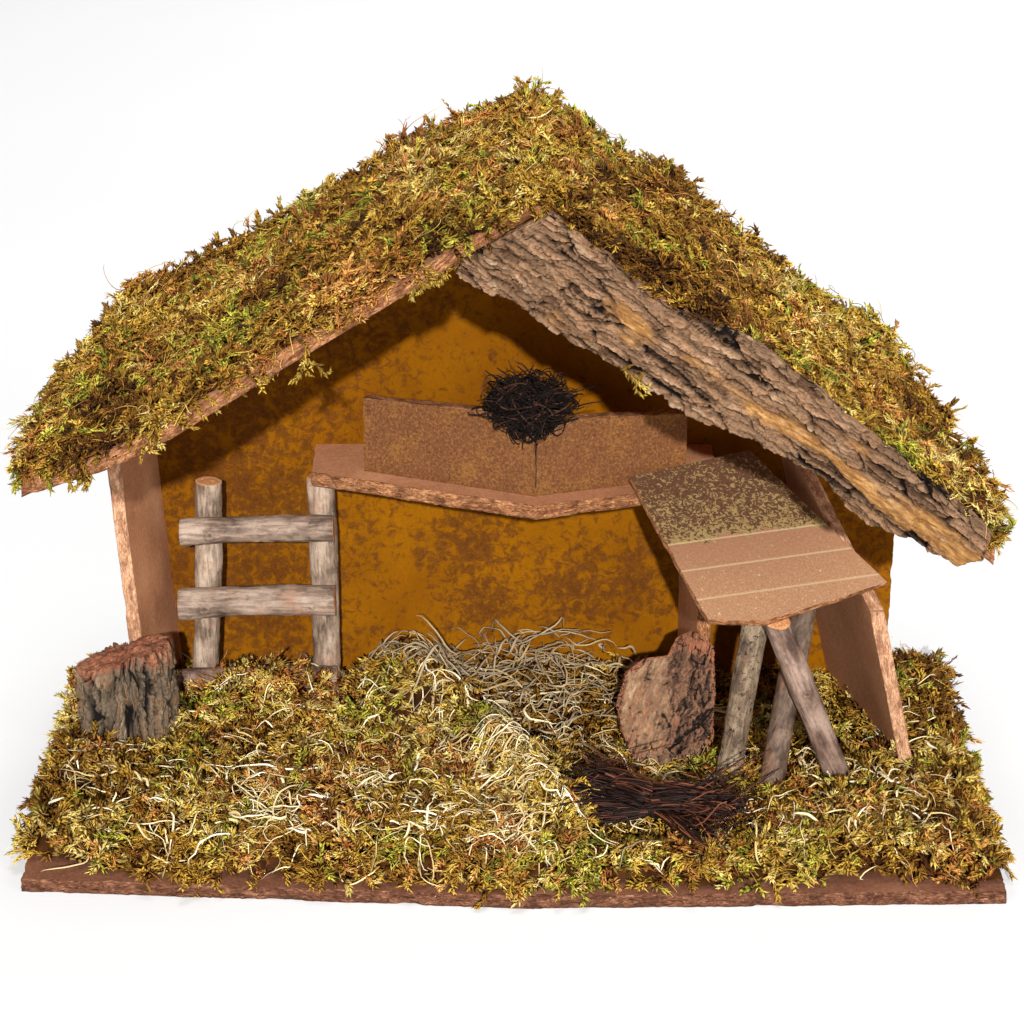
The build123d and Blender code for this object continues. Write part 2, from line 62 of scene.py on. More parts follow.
MM = 0.001
UP = np.array((0.0, 0.0, 1.0))

# The view: camera place and pitch that the photograph's lines give
camera_place = (0, -1.107, 0.5875)
camera_pitch = 67.46
camera_lens = 100


# Numbers and noise

def unit(vectors):
    """Vectors of length one."""
    return vectors / np.maximum(np.linalg.norm(vectors, axis=-1, keepdims=True), 1e-12)


def smooth(values, low, high):
    """A soft step from 0 at low to 1 at high."""
    share = np.clip((values - low) / (high - low), 0, 1)
    return share * share * (3 - 2 * share)


def noise(points, size, seed=0):
    """Smooth noise from -1 to 1 with features of the given size, one size or one for each axis."""
    place = points / np.asarray(size) + seed * 19.37
    cell = np.floor(place).astype(np.int64)
    share = place - cell
    share = share * share * (3 - 2 * share)
    total = np.zeros(len(points))
    for corner in itertools.product((0, 1), repeat=3):
        at = cell + corner
        mixed = at[:, 0] * 73856093 ^ at[:, 1] * 19349663 ^ at[:, 2] * 83492791
        mixed = (mixed ^ (mixed >> 13)) * 1274126177
        value = ((mixed ^ (mixed >> 16)) & 0xFFFF) / 32767.5 - 1
        total += value * np.prod(np.where(corner, share, 1 - share), axis=1)
    return total


def fractal(points, size, octaves=3, seed=0):
    """Noise with finer and weaker copies of itself."""
    size = np.asarray(size, float)
    total = sum(noise(points, size / 2 ** k, seed + k) / 2 ** k for k in range(octaves))
    return total / (2 - 0.5 ** (octaves - 1))


# Meshes

def node_mesh(*names):
    """Corners and triangles of CAD nodes, with shared corners merged."""
    points, triangles = [], []
    count = 0
    for name in names:
        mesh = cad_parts[name].data
        mesh.calc_loop_triangles()
        corners = np.zeros(len(mesh.vertices) * 3, np.float32)
        mesh.vertices.foreach_get("co", corners)
        faces = np.zeros(len(mesh.loop_triangles) * 3, np.int32)
        mesh.loop_triangles.foreach_get("vertices", faces)
        points.append(corners.reshape(-1, 3).astype(float))
        triangles.append(faces.reshape(-1, 3) + count)
        count += len(mesh.vertices)
    points = np.concatenate(points)
    merged, where = np.unique(np.round(points, 6), axis=0, return_inverse=True)
    return merged, where.reshape(-1)[np.concatenate(triangles)]


def face_normals(points, triangles):
    """Unit normals and areas of triangles."""
    a, b, c = (points[triangles[:, k]] for k in range(3))
    cross = np.cross(b - a, c - a)
    return unit(cross), np.linalg.norm(cross, axis=1) / 2


def band_faces(rows, sides):
    """Triangles between rings of corners that follow one another."""
    j, k = (grid.ravel() for grid in np.meshgrid(np.arange(rows - 1), np.arange(sides), indexing="ij"))
    here, after = j * sides + k, j * sides + (k + 1) % sides
    return np.concatenate((np.stack((here, after, after + sides), 1),
                           np.stack((here, after + sides, here + sides), 1)))


def make_piece(name, points, triangles, materials, uv=None, indices=None, flat=None, values=None):
    """A piece from corners and triangles. values are numbers at the corners, by name, for materials."""
    mesh = bpy.data.meshes.new(name)
    triangles = np.ascontiguousarray(triangles, np.int32)
    mesh.vertices.add(len(points))
    mesh.vertices.foreach_set("co", np.ascontiguousarray(points, np.float32).ravel())
    mesh.loops.add(triangles.size)
    mesh.loops.foreach_set("vertex_index", triangles.ravel())
    mesh.polygons.add(len(triangles))
    mesh.polygons.foreach_set("loop_start", np.arange(0, triangles.size, 3, dtype=np.int32))
    if indices is not None:
        mesh.polygons.foreach_set("material_index", np.asarray(indices, np.int32))
    shaded = np.ones(len(triangles), bool) if flat is None else ~np.asarray(flat, bool)
    mesh.polygons.foreach_set("use_smooth", shaded)
    if uv is not None:
        layer = mesh.uv_layers.new(name="OFBake")
        layer.data.foreach_set("uv", np.ascontiguousarray(uv[triangles], np.float32).ravel())
    for key, numbers in (values or {}).items():
        attribute = mesh.attributes.new(key, "FLOAT", "POINT")
        attribute.data.foreach_set("value", np.ascontiguousarray(numbers, np.float32))
    mesh.update(calc_edges=True)
    for material in materials:
        mesh.materials.append(material)
    piece = bpy.data.objects.new(name, mesh)
    bpy.context.scene.collection.objects.link(piece)
    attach(piece, "root")
    return piece


def tubes(paths, radii, sides, tones, flatten=1.0, lean=None):
    """Many thin tubes at once: paths (n, m, 3) and radii (n, m). Gives corners, triangles and UVs."""
    n, m = paths.shape[:2]
    tangents = unit(np.gradient(paths, axis=1))
    lean = np.array((0.31, 0.17, 0.93)) if lean is None else lean
    across = unit(np.cross(tangents, np.broadcast_to(lean, tangents.shape)))
    over = np.cross(tangents, across)
    turns = np.arange(sides) * 2 * math.pi / sides
    ring = (np.cos(turns)[:, None] * across[:, :, None, :] +
            flatten * np.sin(turns)[:, None] * over[:, :, None, :]) * radii[:, :, None, None]
    rings = (paths[:, :, None, :] + ring).reshape(n, m * sides, 3)
    first_tip = paths[:, 0] - tangents[:, 0] * radii[:, :1]
    last_tip = paths[:, -1] + tangents[:, -1] * radii[:, -1:]
    points = np.concatenate((rings, np.stack((first_tip, last_tip), 1)), 1)
    k = np.arange(sides)
    after = (k + 1) % sides
    last_ring = (m - 1) * sides
    first = np.stack((np.full(sides, m * sides), after, k), 1)
    last = np.stack((np.full(sides, m * sides + 1), last_ring + k, last_ring + after), 1)
    one = np.concatenate((band_faces(m, sides), first, last))
    triangles = (one[None] + (np.arange(n) * (m * sides + 2))[:, None, None]).reshape(-1, 3)
    along = np.concatenate((np.repeat(np.linspace(0, 1, m), sides), (0, 1)))
    wide = np.concatenate((np.tile(0.008 * np.cos(turns), m), (0, 0)))
    uv = np.stack((tones[:, None] + wide[None], np.broadcast_to(along, (n, len(along)))), -1)
    return points.reshape(-1, 3), triangles, np.clip(uv.reshape(-1, 2), 0.001, 0.999)


def joined(*meshes):
    """Several (corners, triangles, UVs) as one."""
    starts = np.cumsum([0] + [len(m[0]) for m in meshes[:-1]])
    return (np.concatenate([m[0] for m in meshes]),
            np.concatenate([m[1] + s for m, s in zip(meshes, starts)]),
            np.concatenate([m[2] for m in meshes]))


# Materials

def rgb(red, green, blue):
    """A colour as seen, 0 to 255, as linear light."""
    def linear(value):
        value /= 255
        return value / 12.92 if value <= 0.04045 else ((value + 0.055) / 1.055) ** 2.4
    return (linear(red), linear(green), linear(blue), 1)


def shades(*colours):
    """Several colours as seen, as linear light."""
    return [rgb(*colour) for colour in colours]


def colour_stops(*rows):
    """Stops of a ramp: a place from 0 to 1 and a colour as seen, for each."""
    return [(place, rgb(*colour)) for place, *colour in rows]


class Shader:
    """A material under construction, with short calls for the nodes used here."""

    def __init__(self, name, roughness=0.85, specular=0.25):
        self.material = bpy.data.materials.new(name)
        self.material.use_nodes = True
        self.tree = self.material.node_tree
        self.surface = self.tree.nodes["Principled BSDF"]
        self.surface.inputs["Roughness"].default_value = roughness
        self.surface.inputs["Specular IOR Level"].default_value = specular
        self.place = self.node("ShaderNodeTexCoord").outputs["Object"]

    def node(self, kind, **inputs):
        """A node with its inputs set or linked by name."""
        made = self.tree.nodes.new(kind)
        for name, value in inputs.items():
            self.put(made.inputs[name.replace("_", " ")], value)
        return made

    def put(self, socket, value):
        """Link a socket to another, or set its value."""
        if isinstance(value, bpy.types.NodeSocket):
            self.tree.links.new(value, socket)
        else:
            socket.default_value = value

    def stretched(self, stretch, turn=(0, 0, 0)):
        """Object coordinates, turned and then drawn out along their axes."""
        angles = tuple(math.radians(t) for t in turn)
        turned = self.node("ShaderNodeMapping", Vector=self.place, Rotation=angles)
        scale = tuple(1 / s for s in stretch)
        return self.node("ShaderNodeMapping", Vector=turned.outputs[0], Scale=scale).outputs[0]

    def noise(self, size, detail=4.0, rough=0.6, stretch=None, distortion=0.0, turn=(0, 0, 0)):
        """Noise about 0.5 with features of the given size in metres."""
        place = self.place if stretch is None else self.stretched(stretch, turn)
        made = self.node("ShaderNodeTexNoise", Vector=place, Scale=1 / size, Detail=detail, Roughness=rough,
                         Distortion=distortion)
        return made.outputs["Fac"]

    def ramp(self, factor, stops):
        """Colours or greys along a factor: stops are (place, colour)."""
        made = self.node("ShaderNodeValToRGB", Fac=factor)
        elements = made.color_ramp.elements
        while len(elements) < len(stops):
            elements.new(0.5)
        for element, (place, colour) in zip(elements, stops):
            element.position = place
            element.color = colour if isinstance(colour, tuple) else (colour, colour, colour, 1)
        return made.outputs["Color"]

    def mix(self, factor, first, second, kind="MIX"):
        """Two colours mixed."""
        made = self.tree.nodes.new("ShaderNodeMix")
        made.data_type = "RGBA"
        made.blend_type = kind
        for socket, value in zip((made.inputs[0], made.inputs[6], made.inputs[7]), (factor, first, second)):
            self.put(socket, value)
        return made.outputs[2]

    def math(self, kind, first, second=0.0):
        """A math node on two numbers, clamped to 0 to 1."""
        made = self.tree.nodes.new("ShaderNodeMath")
        made.operation = kind
        made.use_clamp = True
        self.put(made.inputs[0], first)
        self.put(made.inputs[1], second)
        return made.outputs[0]

    def weighted(self, first, share, second, other):
        """Two numbers added by shares."""
        return self.math("ADD", self.math("MULTIPLY", first, share), self.math("MULTIPLY", second, other))

    def wash(self, colour, tint, factor, low, high):
        """A tint laid over a colour where a factor says so: low and high are (factor, share)."""
        return self.mix(self.ramp(factor, [low, high]), colour, tint)

    def ranged(self, kind, point, start, end, first=0, last=1):
        """A vector node on the place and a point, its value brought from start and end to first and last."""
        made = self.tree.nodes.new("ShaderNodeVectorMath")
        made.operation = kind
        self.put(made.inputs[0], self.place)
        made.inputs[1].default_value = tuple(point)
        return self.node("ShaderNodeMapRange", Value=made.outputs["Value"], From_Min=start, From_Max=end,
                         To_Min=first, To_Max=last).outputs[0]

    def near(self, point, reach):
        """1 at a point, falling to 0 at the given reach."""
        return self.ranged("DISTANCE", point, 0, reach, 1, 0)

    def along(self, way, start, end):
        """0 to 1 along a direction, from one level to another."""
        return self.ranged("DOT_PRODUCT", way, start, end)

    def value(self, name):
        """A number kept at the mesh's corners."""
        made = self.tree.nodes.new("ShaderNodeAttribute")
        made.attribute_name = name
        return made.outputs["Fac"]

    def finish(self, colour, height=None, depth=0.0004, strength=1.0):
        """Link the colour and the bump, and hand over the material."""
        self.put(self.surface.inputs["Base Color"], colour)
        if height is not None:
            bump = self.node("ShaderNodeBump", Height=height, Distance=depth, Strength=strength)
            self.put(self.surface.inputs["Normal"], bump.outputs[0])
        return self.material


def fibreboard_material(name, light, middle, dark):
    """Pressed fibres: a fine even grain with a few paler strands."""
    shader = Shader(name, roughness=0.9, specular=0.15)
    grain = shader.noise(1.6 * MM, 6, 0.75)
    broad = shader.noise(28 * MM, 3, 0.5)
    colour = shader.ramp(grain, [(0.3, dark), (0.5, middle), (0.72, light)])
    colour = shader.mix(0.45, colour, shader.ramp(broad, [(0.3, dark), (0.55, middle), (0.75, light)]))
    strands = shader.noise(0.9 * MM, 2, 0.5, stretch=(1, 4, 4), distortion=1.5)
    colour = shader.wash(colour, light, strands, (0.62, 0.0), (0.72, 0.35))
    return shader.finish(colour, grain, 0.25 * MM, 0.7)


def cut_edge_material(name, dark, low, high, light):
    """Torn fibres along a cut edge, drawn out along it."""
    shader = Shader(name, roughness=0.95, specular=0.1)
    spot = shader.node("ShaderNodeCombineXYZ", X=shader.value("around"), Y=shader.value("level"))
    shader.place = spot.outputs[0]
    strands = shader.noise(1.1 * MM, 6, 0.75, stretch=(3.5, 1, 1), distortion=1.6)
    lumps = shader.noise(4 * MM, 4, 0.65, stretch=(2, 1, 1))
    colour = shader.ramp(strands, [(0.36, dark), (0.46, low), (0.57, high), (0.7, light)])
    colour = shader.wash(colour, dark, lumps, (0.38, 0.7), (0.56, 0.0))
    height = shader.weighted(strands, 0.6, lumps, 0.4)
    return shader.finish(colour, height, 1.4 * MM, 1.0)


def ochre_material(stains):
    """Ochre stain over brown board, worn to brown specks round the given spots: x, z and reach."""
    shader = Shader("ochre", roughness=0.8, specular=0.03)
    cloud = shader.noise(38 * MM, 3, 0.55)
    colour = shader.ramp(cloud, colour_stops((0.3, 112, 65, 4), (0.5, 125, 76, 4), (0.7, 136, 84, 4)))
    speck = shader.noise(5 * MM, 7, 0.72, distortion=0.5)
    fine = shader.noise(1.2 * MM, 4, 0.7)
    spread = shader.ramp(shader.noise(55 * MM, 3, 0.5), [(0.35, 0.0), (0.75, 0.35)])
    for x, z, reach in stains:
        spread = shader.math("MAXIMUM", spread, shader.near((x, 0.086, z), reach))
    worn = shader.math("ADD", shader.math("MULTIPLY", spread, 0.22), speck)
    worn = shader.ramp(worn, [(0.58, 0.0), (0.66, 0.6), (0.78, 0.85)])
    brown = shader.ramp(fine, [(0.35, rgb(58, 30, 12)), (0.65, rgb(89, 50, 23))])
    colour = shader.mix(worn, colour, brown)
    colour = shader.wash(colour, rgb(92, 50, 4), fine, (0.35, 0.3), (0.6, 0.0))
    return shader.finish(colour, fine, 0.12 * MM, 0.5)


def rail_material():
    """Brown board with yellowish fibres rubbed through."""
    shader = Shader("rail_board", roughness=0.9, specular=0.15)
    grain = shader.noise(1.2 * MM, 5, 0.75)
    broad = shader.noise(16 * MM, 3, 0.6)
    colour = shader.ramp(grain, colour_stops((0.3, 72, 41, 22), (0.55, 110, 70, 40), (0.72, 142, 99, 60)))
    rubbed = shader.weighted(grain, 0.5, broad, 0.55)
    colour = shader.wash(colour, rgb(142, 98, 42), rubbed, (0.53, 0.0), (0.68, 0.5))
    return shader.finish(colour, grain, 0.25 * MM, 0.8)


def hardboard_material(way, start, end):
    """Tan hardboard, its upper half painted brown with pale yellow flakes, with scored lines across the
    slope; the brown, its flakes and the tan near them are darkened as painted shade from the roof.
    """
    shader = Shader("hardboard", roughness=0.8, specular=0.2)
    fall = shader.along(way, start, end)
    grain = shader.noise(0.9 * MM, 5, 0.7)
    tan = shader.ramp(grain, colour_stops((0.3, 141, 100, 71), (0.55, 167, 126, 93), (0.75, 187, 150, 116)))
    chips = shader.ramp(shader.noise(1.7 * MM, 2, 0.5), [(0.68, 0.0), (0.73, 0.8)])
    tan = shader.mix(chips, tan, rgb(206, 178, 141))
    # painted shade: the tan darkens towards the upper edge, under the roof
    tan = shader.wash(tan, rgb(136, 92, 66), fall, (0.5, 0.55), (0.85, 0.0))
    flakes = shader.noise(2.1 * MM, 4, 0.6, distortion=1.4)
    band = shader.ramp(fall, [(0.0, 0.02), (0.25, 0.05), (0.42, 0.09), (0.5, 0.16)])
    yellow = shader.ramp(shader.math("ADD", flakes, band), [(0.58, 0.0), (0.63, 0.9)])
    # brown paint and yellow flakes, both darker than the paint itself as painted shade from the roof
    brown = shader.ramp(grain, [(0.3, rgb(70, 44, 29)), (0.7, rgb(98, 66, 46))])
    paint_and_shade = shader.mix(yellow, brown, rgb(152, 129, 82))
    wobble = shader.math("MULTIPLY", shader.noise(8 * MM, 4, 0.7), 0.22)
    edge = shader.math("ADD", fall, wobble)
    colour = shader.wash(tan, paint_and_shade, edge, (0.6, 1.0), (0.62, 0.0))
    lines = [(0.0, 0.0)]
    for line in (0.5, 0.66, 0.83):
        lines += [(line - 0.008, 0.0), (line, 1.0), (line + 0.008, 0.0)]
    score = shader.ramp(fall, lines)
    colour = shader.mix(shader.math("MULTIPLY", score, 0.55), colour, rgb(206, 183, 142))
    return shader.finish(colour, shader.math("SUBTRACT", grain, score), 0.2 * MM, 0.6)


def twig_material(name, dark, middle, light, speck, turn=(0, 0, 0), speckle=0.66):
    """Smooth bark with patches, streaks and specks. The stick runs along the turned first axis."""
    shader = Shader(name, roughness=0.7, specular=0.25)
    cloud = shader.noise(11 * MM, 4, 0.6, stretch=(1.6, 1, 1), turn=turn)
    fine = shader.noise(1.0 * MM, 5, 0.72)
    colour = shader.ramp(cloud, [(0.34, dark), (0.46, middle), (0.62, light)])
    streaks = shader.noise(1.5 * MM, 4, 0.65, stretch=(8, 1, 1), turn=turn)
    colour = shader.wash(colour, dark, streaks, (0.38, 0.55), (0.52, 0.0))
    colour = shader.wash(colour, light, streaks, (0.52, 0.0), (0.66, 0.5))
    rubbed = shader.noise(17 * MM, 4, 0.65)
    colour = shader.wash(colour, rgb(150, 104, 78), rubbed, (0.55, 0.0), (0.68, 0.45))
    colour = shader.wash(colour, dark, fine, (0.3, 0.35), (0.5, 0.0))
    specks = shader.noise(1.8 * MM, 4, 0.65, distortion=0.8)
    blotch = shader.math("MULTIPLY", shader.noise(9 * MM, 3, 0.6), 0.16)
    specks = shader.math("ADD", specks, shader.math("SUBTRACT", blotch, 0.08))
    colour = shader.wash(colour, speck, specks, (speckle, 0.0), (speckle + 0.04, 0.9))
    cracks = shader.noise(1.1 * MM, 3, 0.6, stretch=(9, 1, 1), turn=turn)
    colour = shader.wash(colour, speck, cracks, (0.66, 0.0), (0.72, 0.7))
    colour = shader.mix(shader.value("knot"), colour, rgb(58, 38, 28))
    height = shader.weighted(fine, 0.4, streaks, 0.6)
    return shader.finish(colour, height, 0.4 * MM, 0.8)


def cut_end_material():
    """A sawn twig end."""
    shader = Shader("cut_end", roughness=0.85, specular=0.15)
    fine = shader.noise(0.8 * MM, 4, 0.7)
    colour = shader.ramp(fine, colour_stops((0.3, 150, 92, 54), (0.55, 196, 138, 90), (0.75, 220, 176, 130)))
    return shader.finish(colour, fine, 0.3 * MM, 0.8)


def bark_material(name, deep, tints, patch, turn=(0, 0, 0)):
    """Bark coloured flake by flake, with bare patches where the mesh says so, and black in the cracks: the
    fissures' own dark and painted shade in them.
    """
    shader = Shader(name, roughness=0.9, specular=0.15)
    relief = shader.value("relief")
    bare_share = shader.value("bare")
    fine = shader.noise(0.9 * MM, 6, 0.75, stretch=(2.5, 1, 1), turn=turn)
    broad = shader.noise(8 * MM, 5, 0.7, stretch=(2.0, 1, 1), turn=turn)
    speckled = shader.math("SUBTRACT", shader.math("MULTIPLY", fine, 0.5), 0.25)
    tint = shader.math("ADD", shader.value("tint"), speckled)
    plate = shader.ramp(tint, [(k / (len(tints) - 1), colour) for k, colour in enumerate(tints)])
    plate = shader.wash(plate, tints[0], broad, (0.38, 0.45), (0.58, 0.0))
    plate = shader.wash(plate, deep, fine, (0.34, 0.75), (0.5, 0.0))
    streak = shader.noise(2.2 * MM, 5, 0.7, stretch=(6, 1, 1), turn=turn)
    bare = shader.ramp(shader.noise(1.6 * MM, 5, 0.7, stretch=(4, 1, 1), turn=turn),
                       [(0.3, patch[0]), (0.5, patch[1]), (0.72, patch[2])])
    bare = shader.wash(bare, patch[0], broad, (0.4, 0.55), (0.6, 0.0))
    bare = shader.wash(bare, tints[0], streak, (0.36, 0.7), (0.48, 0.0))
    bare = shader.wash(bare, patch[2], streak, (0.56, 0.0), (0.68, 0.65))
    colour = shader.mix(bare_share, plate, bare)
    # black where the relief is low: dark fissures, and painted shade in the cracks
    colour = shader.wash(colour, deep, relief, (0.24, 1.0), (0.5, 0.0))
    return shader.finish(colour, fine, 0.5 * MM, 1.0)


def steel_material(name, light, dark, metal):
    """Dull wire with some tarnish."""
    shader = Shader(name, roughness=0.45, specular=0.5)
    shader.surface.inputs["Metallic"].default_value = metal
    tarnish = shader.noise(1.5 * MM, 4, 0.7)
    return shader.finish(shader.ramp(tarnish, [(0.35, dark), (0.65, light)]), tarnish, 0.05 * MM, 0.5)


def strand_material(name, tones, ends, roughness=0.8, specular=0.2):
    """Fibres and leaves: the tone is along u, and v runs from root to tip."""
    shader = Shader(name, roughness=roughness, specular=specular)
    uv = shader.node("ShaderNodeUVMap")
    uv.uv_map = "OFBake"
    split = shader.node("ShaderNodeSeparateXYZ", Vector=uv.outputs[0])
    tone = shader.ramp(split.outputs[0], tones)
    shade = shader.ramp(split.outputs[1], ends)
    return shader.finish(shader.mix(1.0, tone, shade, "MULTIPLY"))


board = fibreboard_material("fibreboard", *shades((211, 160, 121), (179, 125, 89), (144, 96, 66)))
rear_board = fibreboard_material("rear_board", *shades((168, 128, 97), (132, 94, 67), (101, 69, 48)))
base_face = fibreboard_material("base_face", *shades((150, 104, 78), (116, 74, 54), (86, 52, 36)))
cut_edge = cut_edge_material("cut_edge",
                             *shades((72, 37, 22), (138, 87, 54), (186, 132, 90), (226, 184, 142)))
wall_edge = cut_edge_material("wall_edge",
                              *shades((122, 76, 54), (188, 138, 102), (222, 174, 136), (246, 216, 184)))
base_edge = cut_edge_material("base_edge",
                              *shades((53, 29, 20), (96, 59, 42), (134, 90, 66), (182, 140, 107)))
stain_spots = [(-0.125, 0.16, 0.1), (-0.12, 0.1, 0.1), (-0.12, 0.05, 0.085), (-0.085, 0.185, 0.07),
               (-0.02, 0.075, 0.04), (-0.012, 0.05, 0.035), (0.03, 0.055, 0.045), (0.055, 0.06, 0.04),
               (-0.05, 0.215, 0.055), (0.0, 0.23, 0.05), (0.06, 0.2, 0.05), (0.13, 0.07, 0.07)]
ochre = ochre_material(stain_spots)
rail_board = rail_material()
moss_tones = colour_stops((0.0, 61, 35, 13), (0.14, 120, 78, 26), (0.28, 164, 120, 42),
                          (0.42, 198, 158, 60), (0.54, 221, 189, 88), (0.63, 231, 212, 133),
                          (0.7, 224, 168, 92), (0.78, 196, 131, 62), (0.84, 148, 90, 42),
                          (0.9, 208, 196, 78), (0.95, 170, 164, 56), (1.0, 118, 125, 42))
# along each shoot: dark at the root, the older stems' brown and painted shade deep in the mat; tips above
# one are paler and bluer, partly painted highlight
moss_root_shade_and_tips = [(0.0, (0.17, 0.09, 0.04, 1)), (0.35, (0.5, 0.42, 0.34, 1)), (0.75, (1, 1, 1, 1)),
             (1.0, (1.15, 1.17, 1.22, 1))]
moss = strand_material("moss", moss_tones, moss_root_shade_and_tips, 0.85, 0.15)
# straw colours: the low grey-tan end, used by the mound at the back, is painted shade; the rest is cream
straw_tones = colour_stops((0.0, 98, 82, 62), (0.3, 172, 153, 121), (0.36, 180, 146, 88),
                           (0.6, 214, 191, 138), (0.85, 234, 220, 178), (1.0, 244, 235, 208))
straw = strand_material("straw", straw_tones, [(0.0, 0.6), (0.2, 1.0), (0.8, 1.0), (1.0, 0.65)], 0.6, 0.3)
nest_tones = colour_stops((0.0, 12, 7, 5), (0.6, 32, 19, 13), (1.0, 84, 52, 36))
nest_fibre = strand_material("nest_fibre", nest_tones, [(0.0, 0.8), (1.0, 1.0)], 0.7, 0.15)
brushwood_tones = colour_stops((0.0, 16, 8, 6), (0.5, 40, 22, 16), (0.85, 88, 49, 34), (1.0, 134, 78, 53))
brushwood = strand_material("brushwood", brushwood_tones, [(0.0, 0.85), (1.0, 1.0)], 0.55, 0.16)
twig_grey = twig_material("twig_grey",
                          *shades((75, 60, 48), (132, 111, 93), (175, 154, 133), (46, 32, 25)), (0, 90, 0))
twig_rung = twig_material("twig_rung", *shades((79, 63, 52), (131, 110, 94), (166, 145, 127), (51, 36, 28)))
twig_pale = twig_material("twig_pale",
                          *shades((64, 50, 39), (112, 92, 72), (151, 131, 105), (33, 24, 18)), (0, 80, 0),
                          speckle=0.57)
twig_brown = twig_material("twig_brown",
                           *shades((68, 49, 40), (110, 86, 72), (153, 128, 112), (48, 31, 24)), (0, 114, 0))
twig_dark = twig_material("twig_dark",
                          *shades((52, 39, 31), (85, 66, 53), (118, 96, 79), (28, 20, 17)), (0, 70, 0))
cut_end = cut_end_material()
pine_patch = shades((100, 62, 30), (150, 106, 58), (194, 154, 100))
pine_tints = shades((74, 48, 30), (108, 80, 58), (136, 106, 80), (150, 112, 82), (172, 144, 116))
pine_bark = bark_material("pine_bark", rgb(18, 11, 8), pine_tints, pine_patch, turn=(0, -36, 0))
stump_patch = shades((96, 52, 36), (146, 90, 64), (186, 132, 100))
stump_tints = shades((60, 48, 36), (92, 78, 62), (120, 104, 86), (124, 96, 70), (150, 132, 110))
stump_bark = bark_material("stump_bark", rgb(22, 17, 14), stump_tints, stump_patch, turn=(0, 90, 0))
slab_patch = shades((110, 80, 58), (158, 124, 92), (198, 168, 134))
slab_tints = shades((78, 54, 42), (112, 82, 62), (140, 104, 80), (148, 96, 70), (164, 108, 78))
slab_bark = bark_material("slab_bark", rgb(32, 22, 17), slab_tints, slab_patch, turn=(0, 75, 0))
steel = steel_material("steel", rgb(150, 146, 140), rgb(92, 84, 76), 0.9)
tie_wire = steel_material("tie_wire", rgb(70, 58, 50), rgb(34, 28, 25), 0.5)


# Boards with torn cut edges

def face_loop(points, triangles, chosen):
    """The longest edge loop round some triangles, as corner numbers in order."""
    follow = {}
    pairs = set()
    for a, b, c in triangles[chosen]:
        pairs.update(((a, b), (b, c), (c, a)))
    for a, b in pairs:
        if (b, a) not in pairs:
            follow[a] = b
    loops = []
    while follow:
        start, here = follow.popitem()
        loop = [start]
        while here != start and here in follow:
            loop.append(here)
            here = follow.pop(here)
        loops.append(loop)
    lengths = [np.linalg.norm(points[l] - points[np.roll(l, 1)], axis=1).sum() for l in loops]
    return loops[int(np.argmax(lengths))]


def corners_of(loop_points):
    """A loop's points without those on a straight line."""
    before = unit(loop_points - np.roll(loop_points, 1, 0))
    after = unit(np.roll(loop_points, -1, 0) - loop_points)
    return loop_points[np.einsum("ij,ij->i", before, after) < 0.99995]


def board_faces(name):
    """A board's normal and the corners of its two faces, matched."""
    points, triangles = node_mesh(name)
    normals, areas = face_normals(points, triangles)
    keys, where = np.unique(np.round(normals, 3), axis=0, return_inverse=True)
    largest = normals @ unit(keys[np.argmax(np.bincount(where.reshape(-1), areas))]) > 0.9995
    normal = unit((normals[largest] * areas[largest][:, None]).sum(axis=0))
    level = (points @ normal)[triangles]
    top = corners_of(points[face_loop(points, triangles, (level > level.max() - 0.05 * MM).all(axis=1))])
    bottom = corners_of(points[face_loop(points, triangles, (level < level.min() + 0.05 * MM).all(axis=1))])
    flat_top = top - np.outer(top @ normal, normal)
    flat_bottom = bottom - np.outer(bottom @ normal, normal)
    near = [int(np.argmin(np.linalg.norm(flat_bottom - p, axis=1))) for p in flat_top]
    return normal, top, bottom[near]


def rough_board(name, faces, edge, tear=0.5 * MM, step=1.1 * MM, layers=7, wave=0.4 * MM):
    """A board in place of its node: flat faces, each with its material, and edges torn into fibres."""
    normal, top, bottom = board_faces(name)
    upper, lower = [], []
    for k in range(len(top)):
        following = (k + 1) % len(top)
        count = max(2, int(np.linalg.norm(top[following] - top[k]) / step))
        share = (np.arange(count) / count)[:, None]
        upper.append(top[k] * (1 - share) + top[following] * share)
        lower.append(bottom[k] * (1 - share) + bottom[following] * share)
    upper, lower = np.concatenate(upper), np.concatenate(lower)
    count = len(upper)
    rows, arounds, levels = [], [], []
    for j in range(layers):
        share = j / (layers - 1)
        row = upper * (1 - share) + lower * share
        along = unit(np.roll(row, -1, 0) - np.roll(row, 1, 0))
        outward = np.cross(along, normal)
        around = np.cumsum(np.linalg.norm(row - np.roll(row, 1, 0), axis=1))
        flat = np.stack((around, np.full(count, j * step), np.full(count, 0.0)), 1)
        torn = fractal(flat, (7 * MM, 0.8 * MM, MM), 3, 3) * tear + noise(flat, 1.3 * MM, 9) * tear * 0.5
        chips = smooth(noise(flat, (11 * MM, 5 * MM, MM), 5), 0.45, 0.8) * tear * -1.6
        rounding = -0.25 * tear * (abs(share - 0.5) * 2) ** 6
        rows.append(row + outward * (torn + chips + rounding + wave * noise(flat, 24 * MM, 12))[:, None])
        arounds.append(around)
        levels.append(np.full(count, share * np.linalg.norm(top[0] - bottom[0])))
    points = np.concatenate(rows)
    sides = band_faces(layers, count)[:, ::-1]
    caps, kinds = [], [np.full(len(sides), 2)]
    for start, flip, kind in ((0, False, 0), ((layers - 1) * count, True, 1)):
        ring = [Vector(p) for p in points[start:start + count]]
        filled = np.array(tessellate_polygon([ring]), int) + start
        way = face_normals(points, filled)[0] @ normal
        turned = (way < 0) != flip
        filled[turned] = filled[turned][:, ::-1]
        caps.append(filled)
        kinds.append(np.full(len(filled), kind))
    triangles = np.concatenate([sides] + caps)
    kinds = np.concatenate(kinds)
    values = {"around": np.concatenate(arounds), "level": np.concatenate(levels)}
    piece = make_piece(name + "_board", points, triangles, [faces[0], faces[1], edge], indices=kinds,
                       flat=kinds < 2, values=values)
    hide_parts(name)


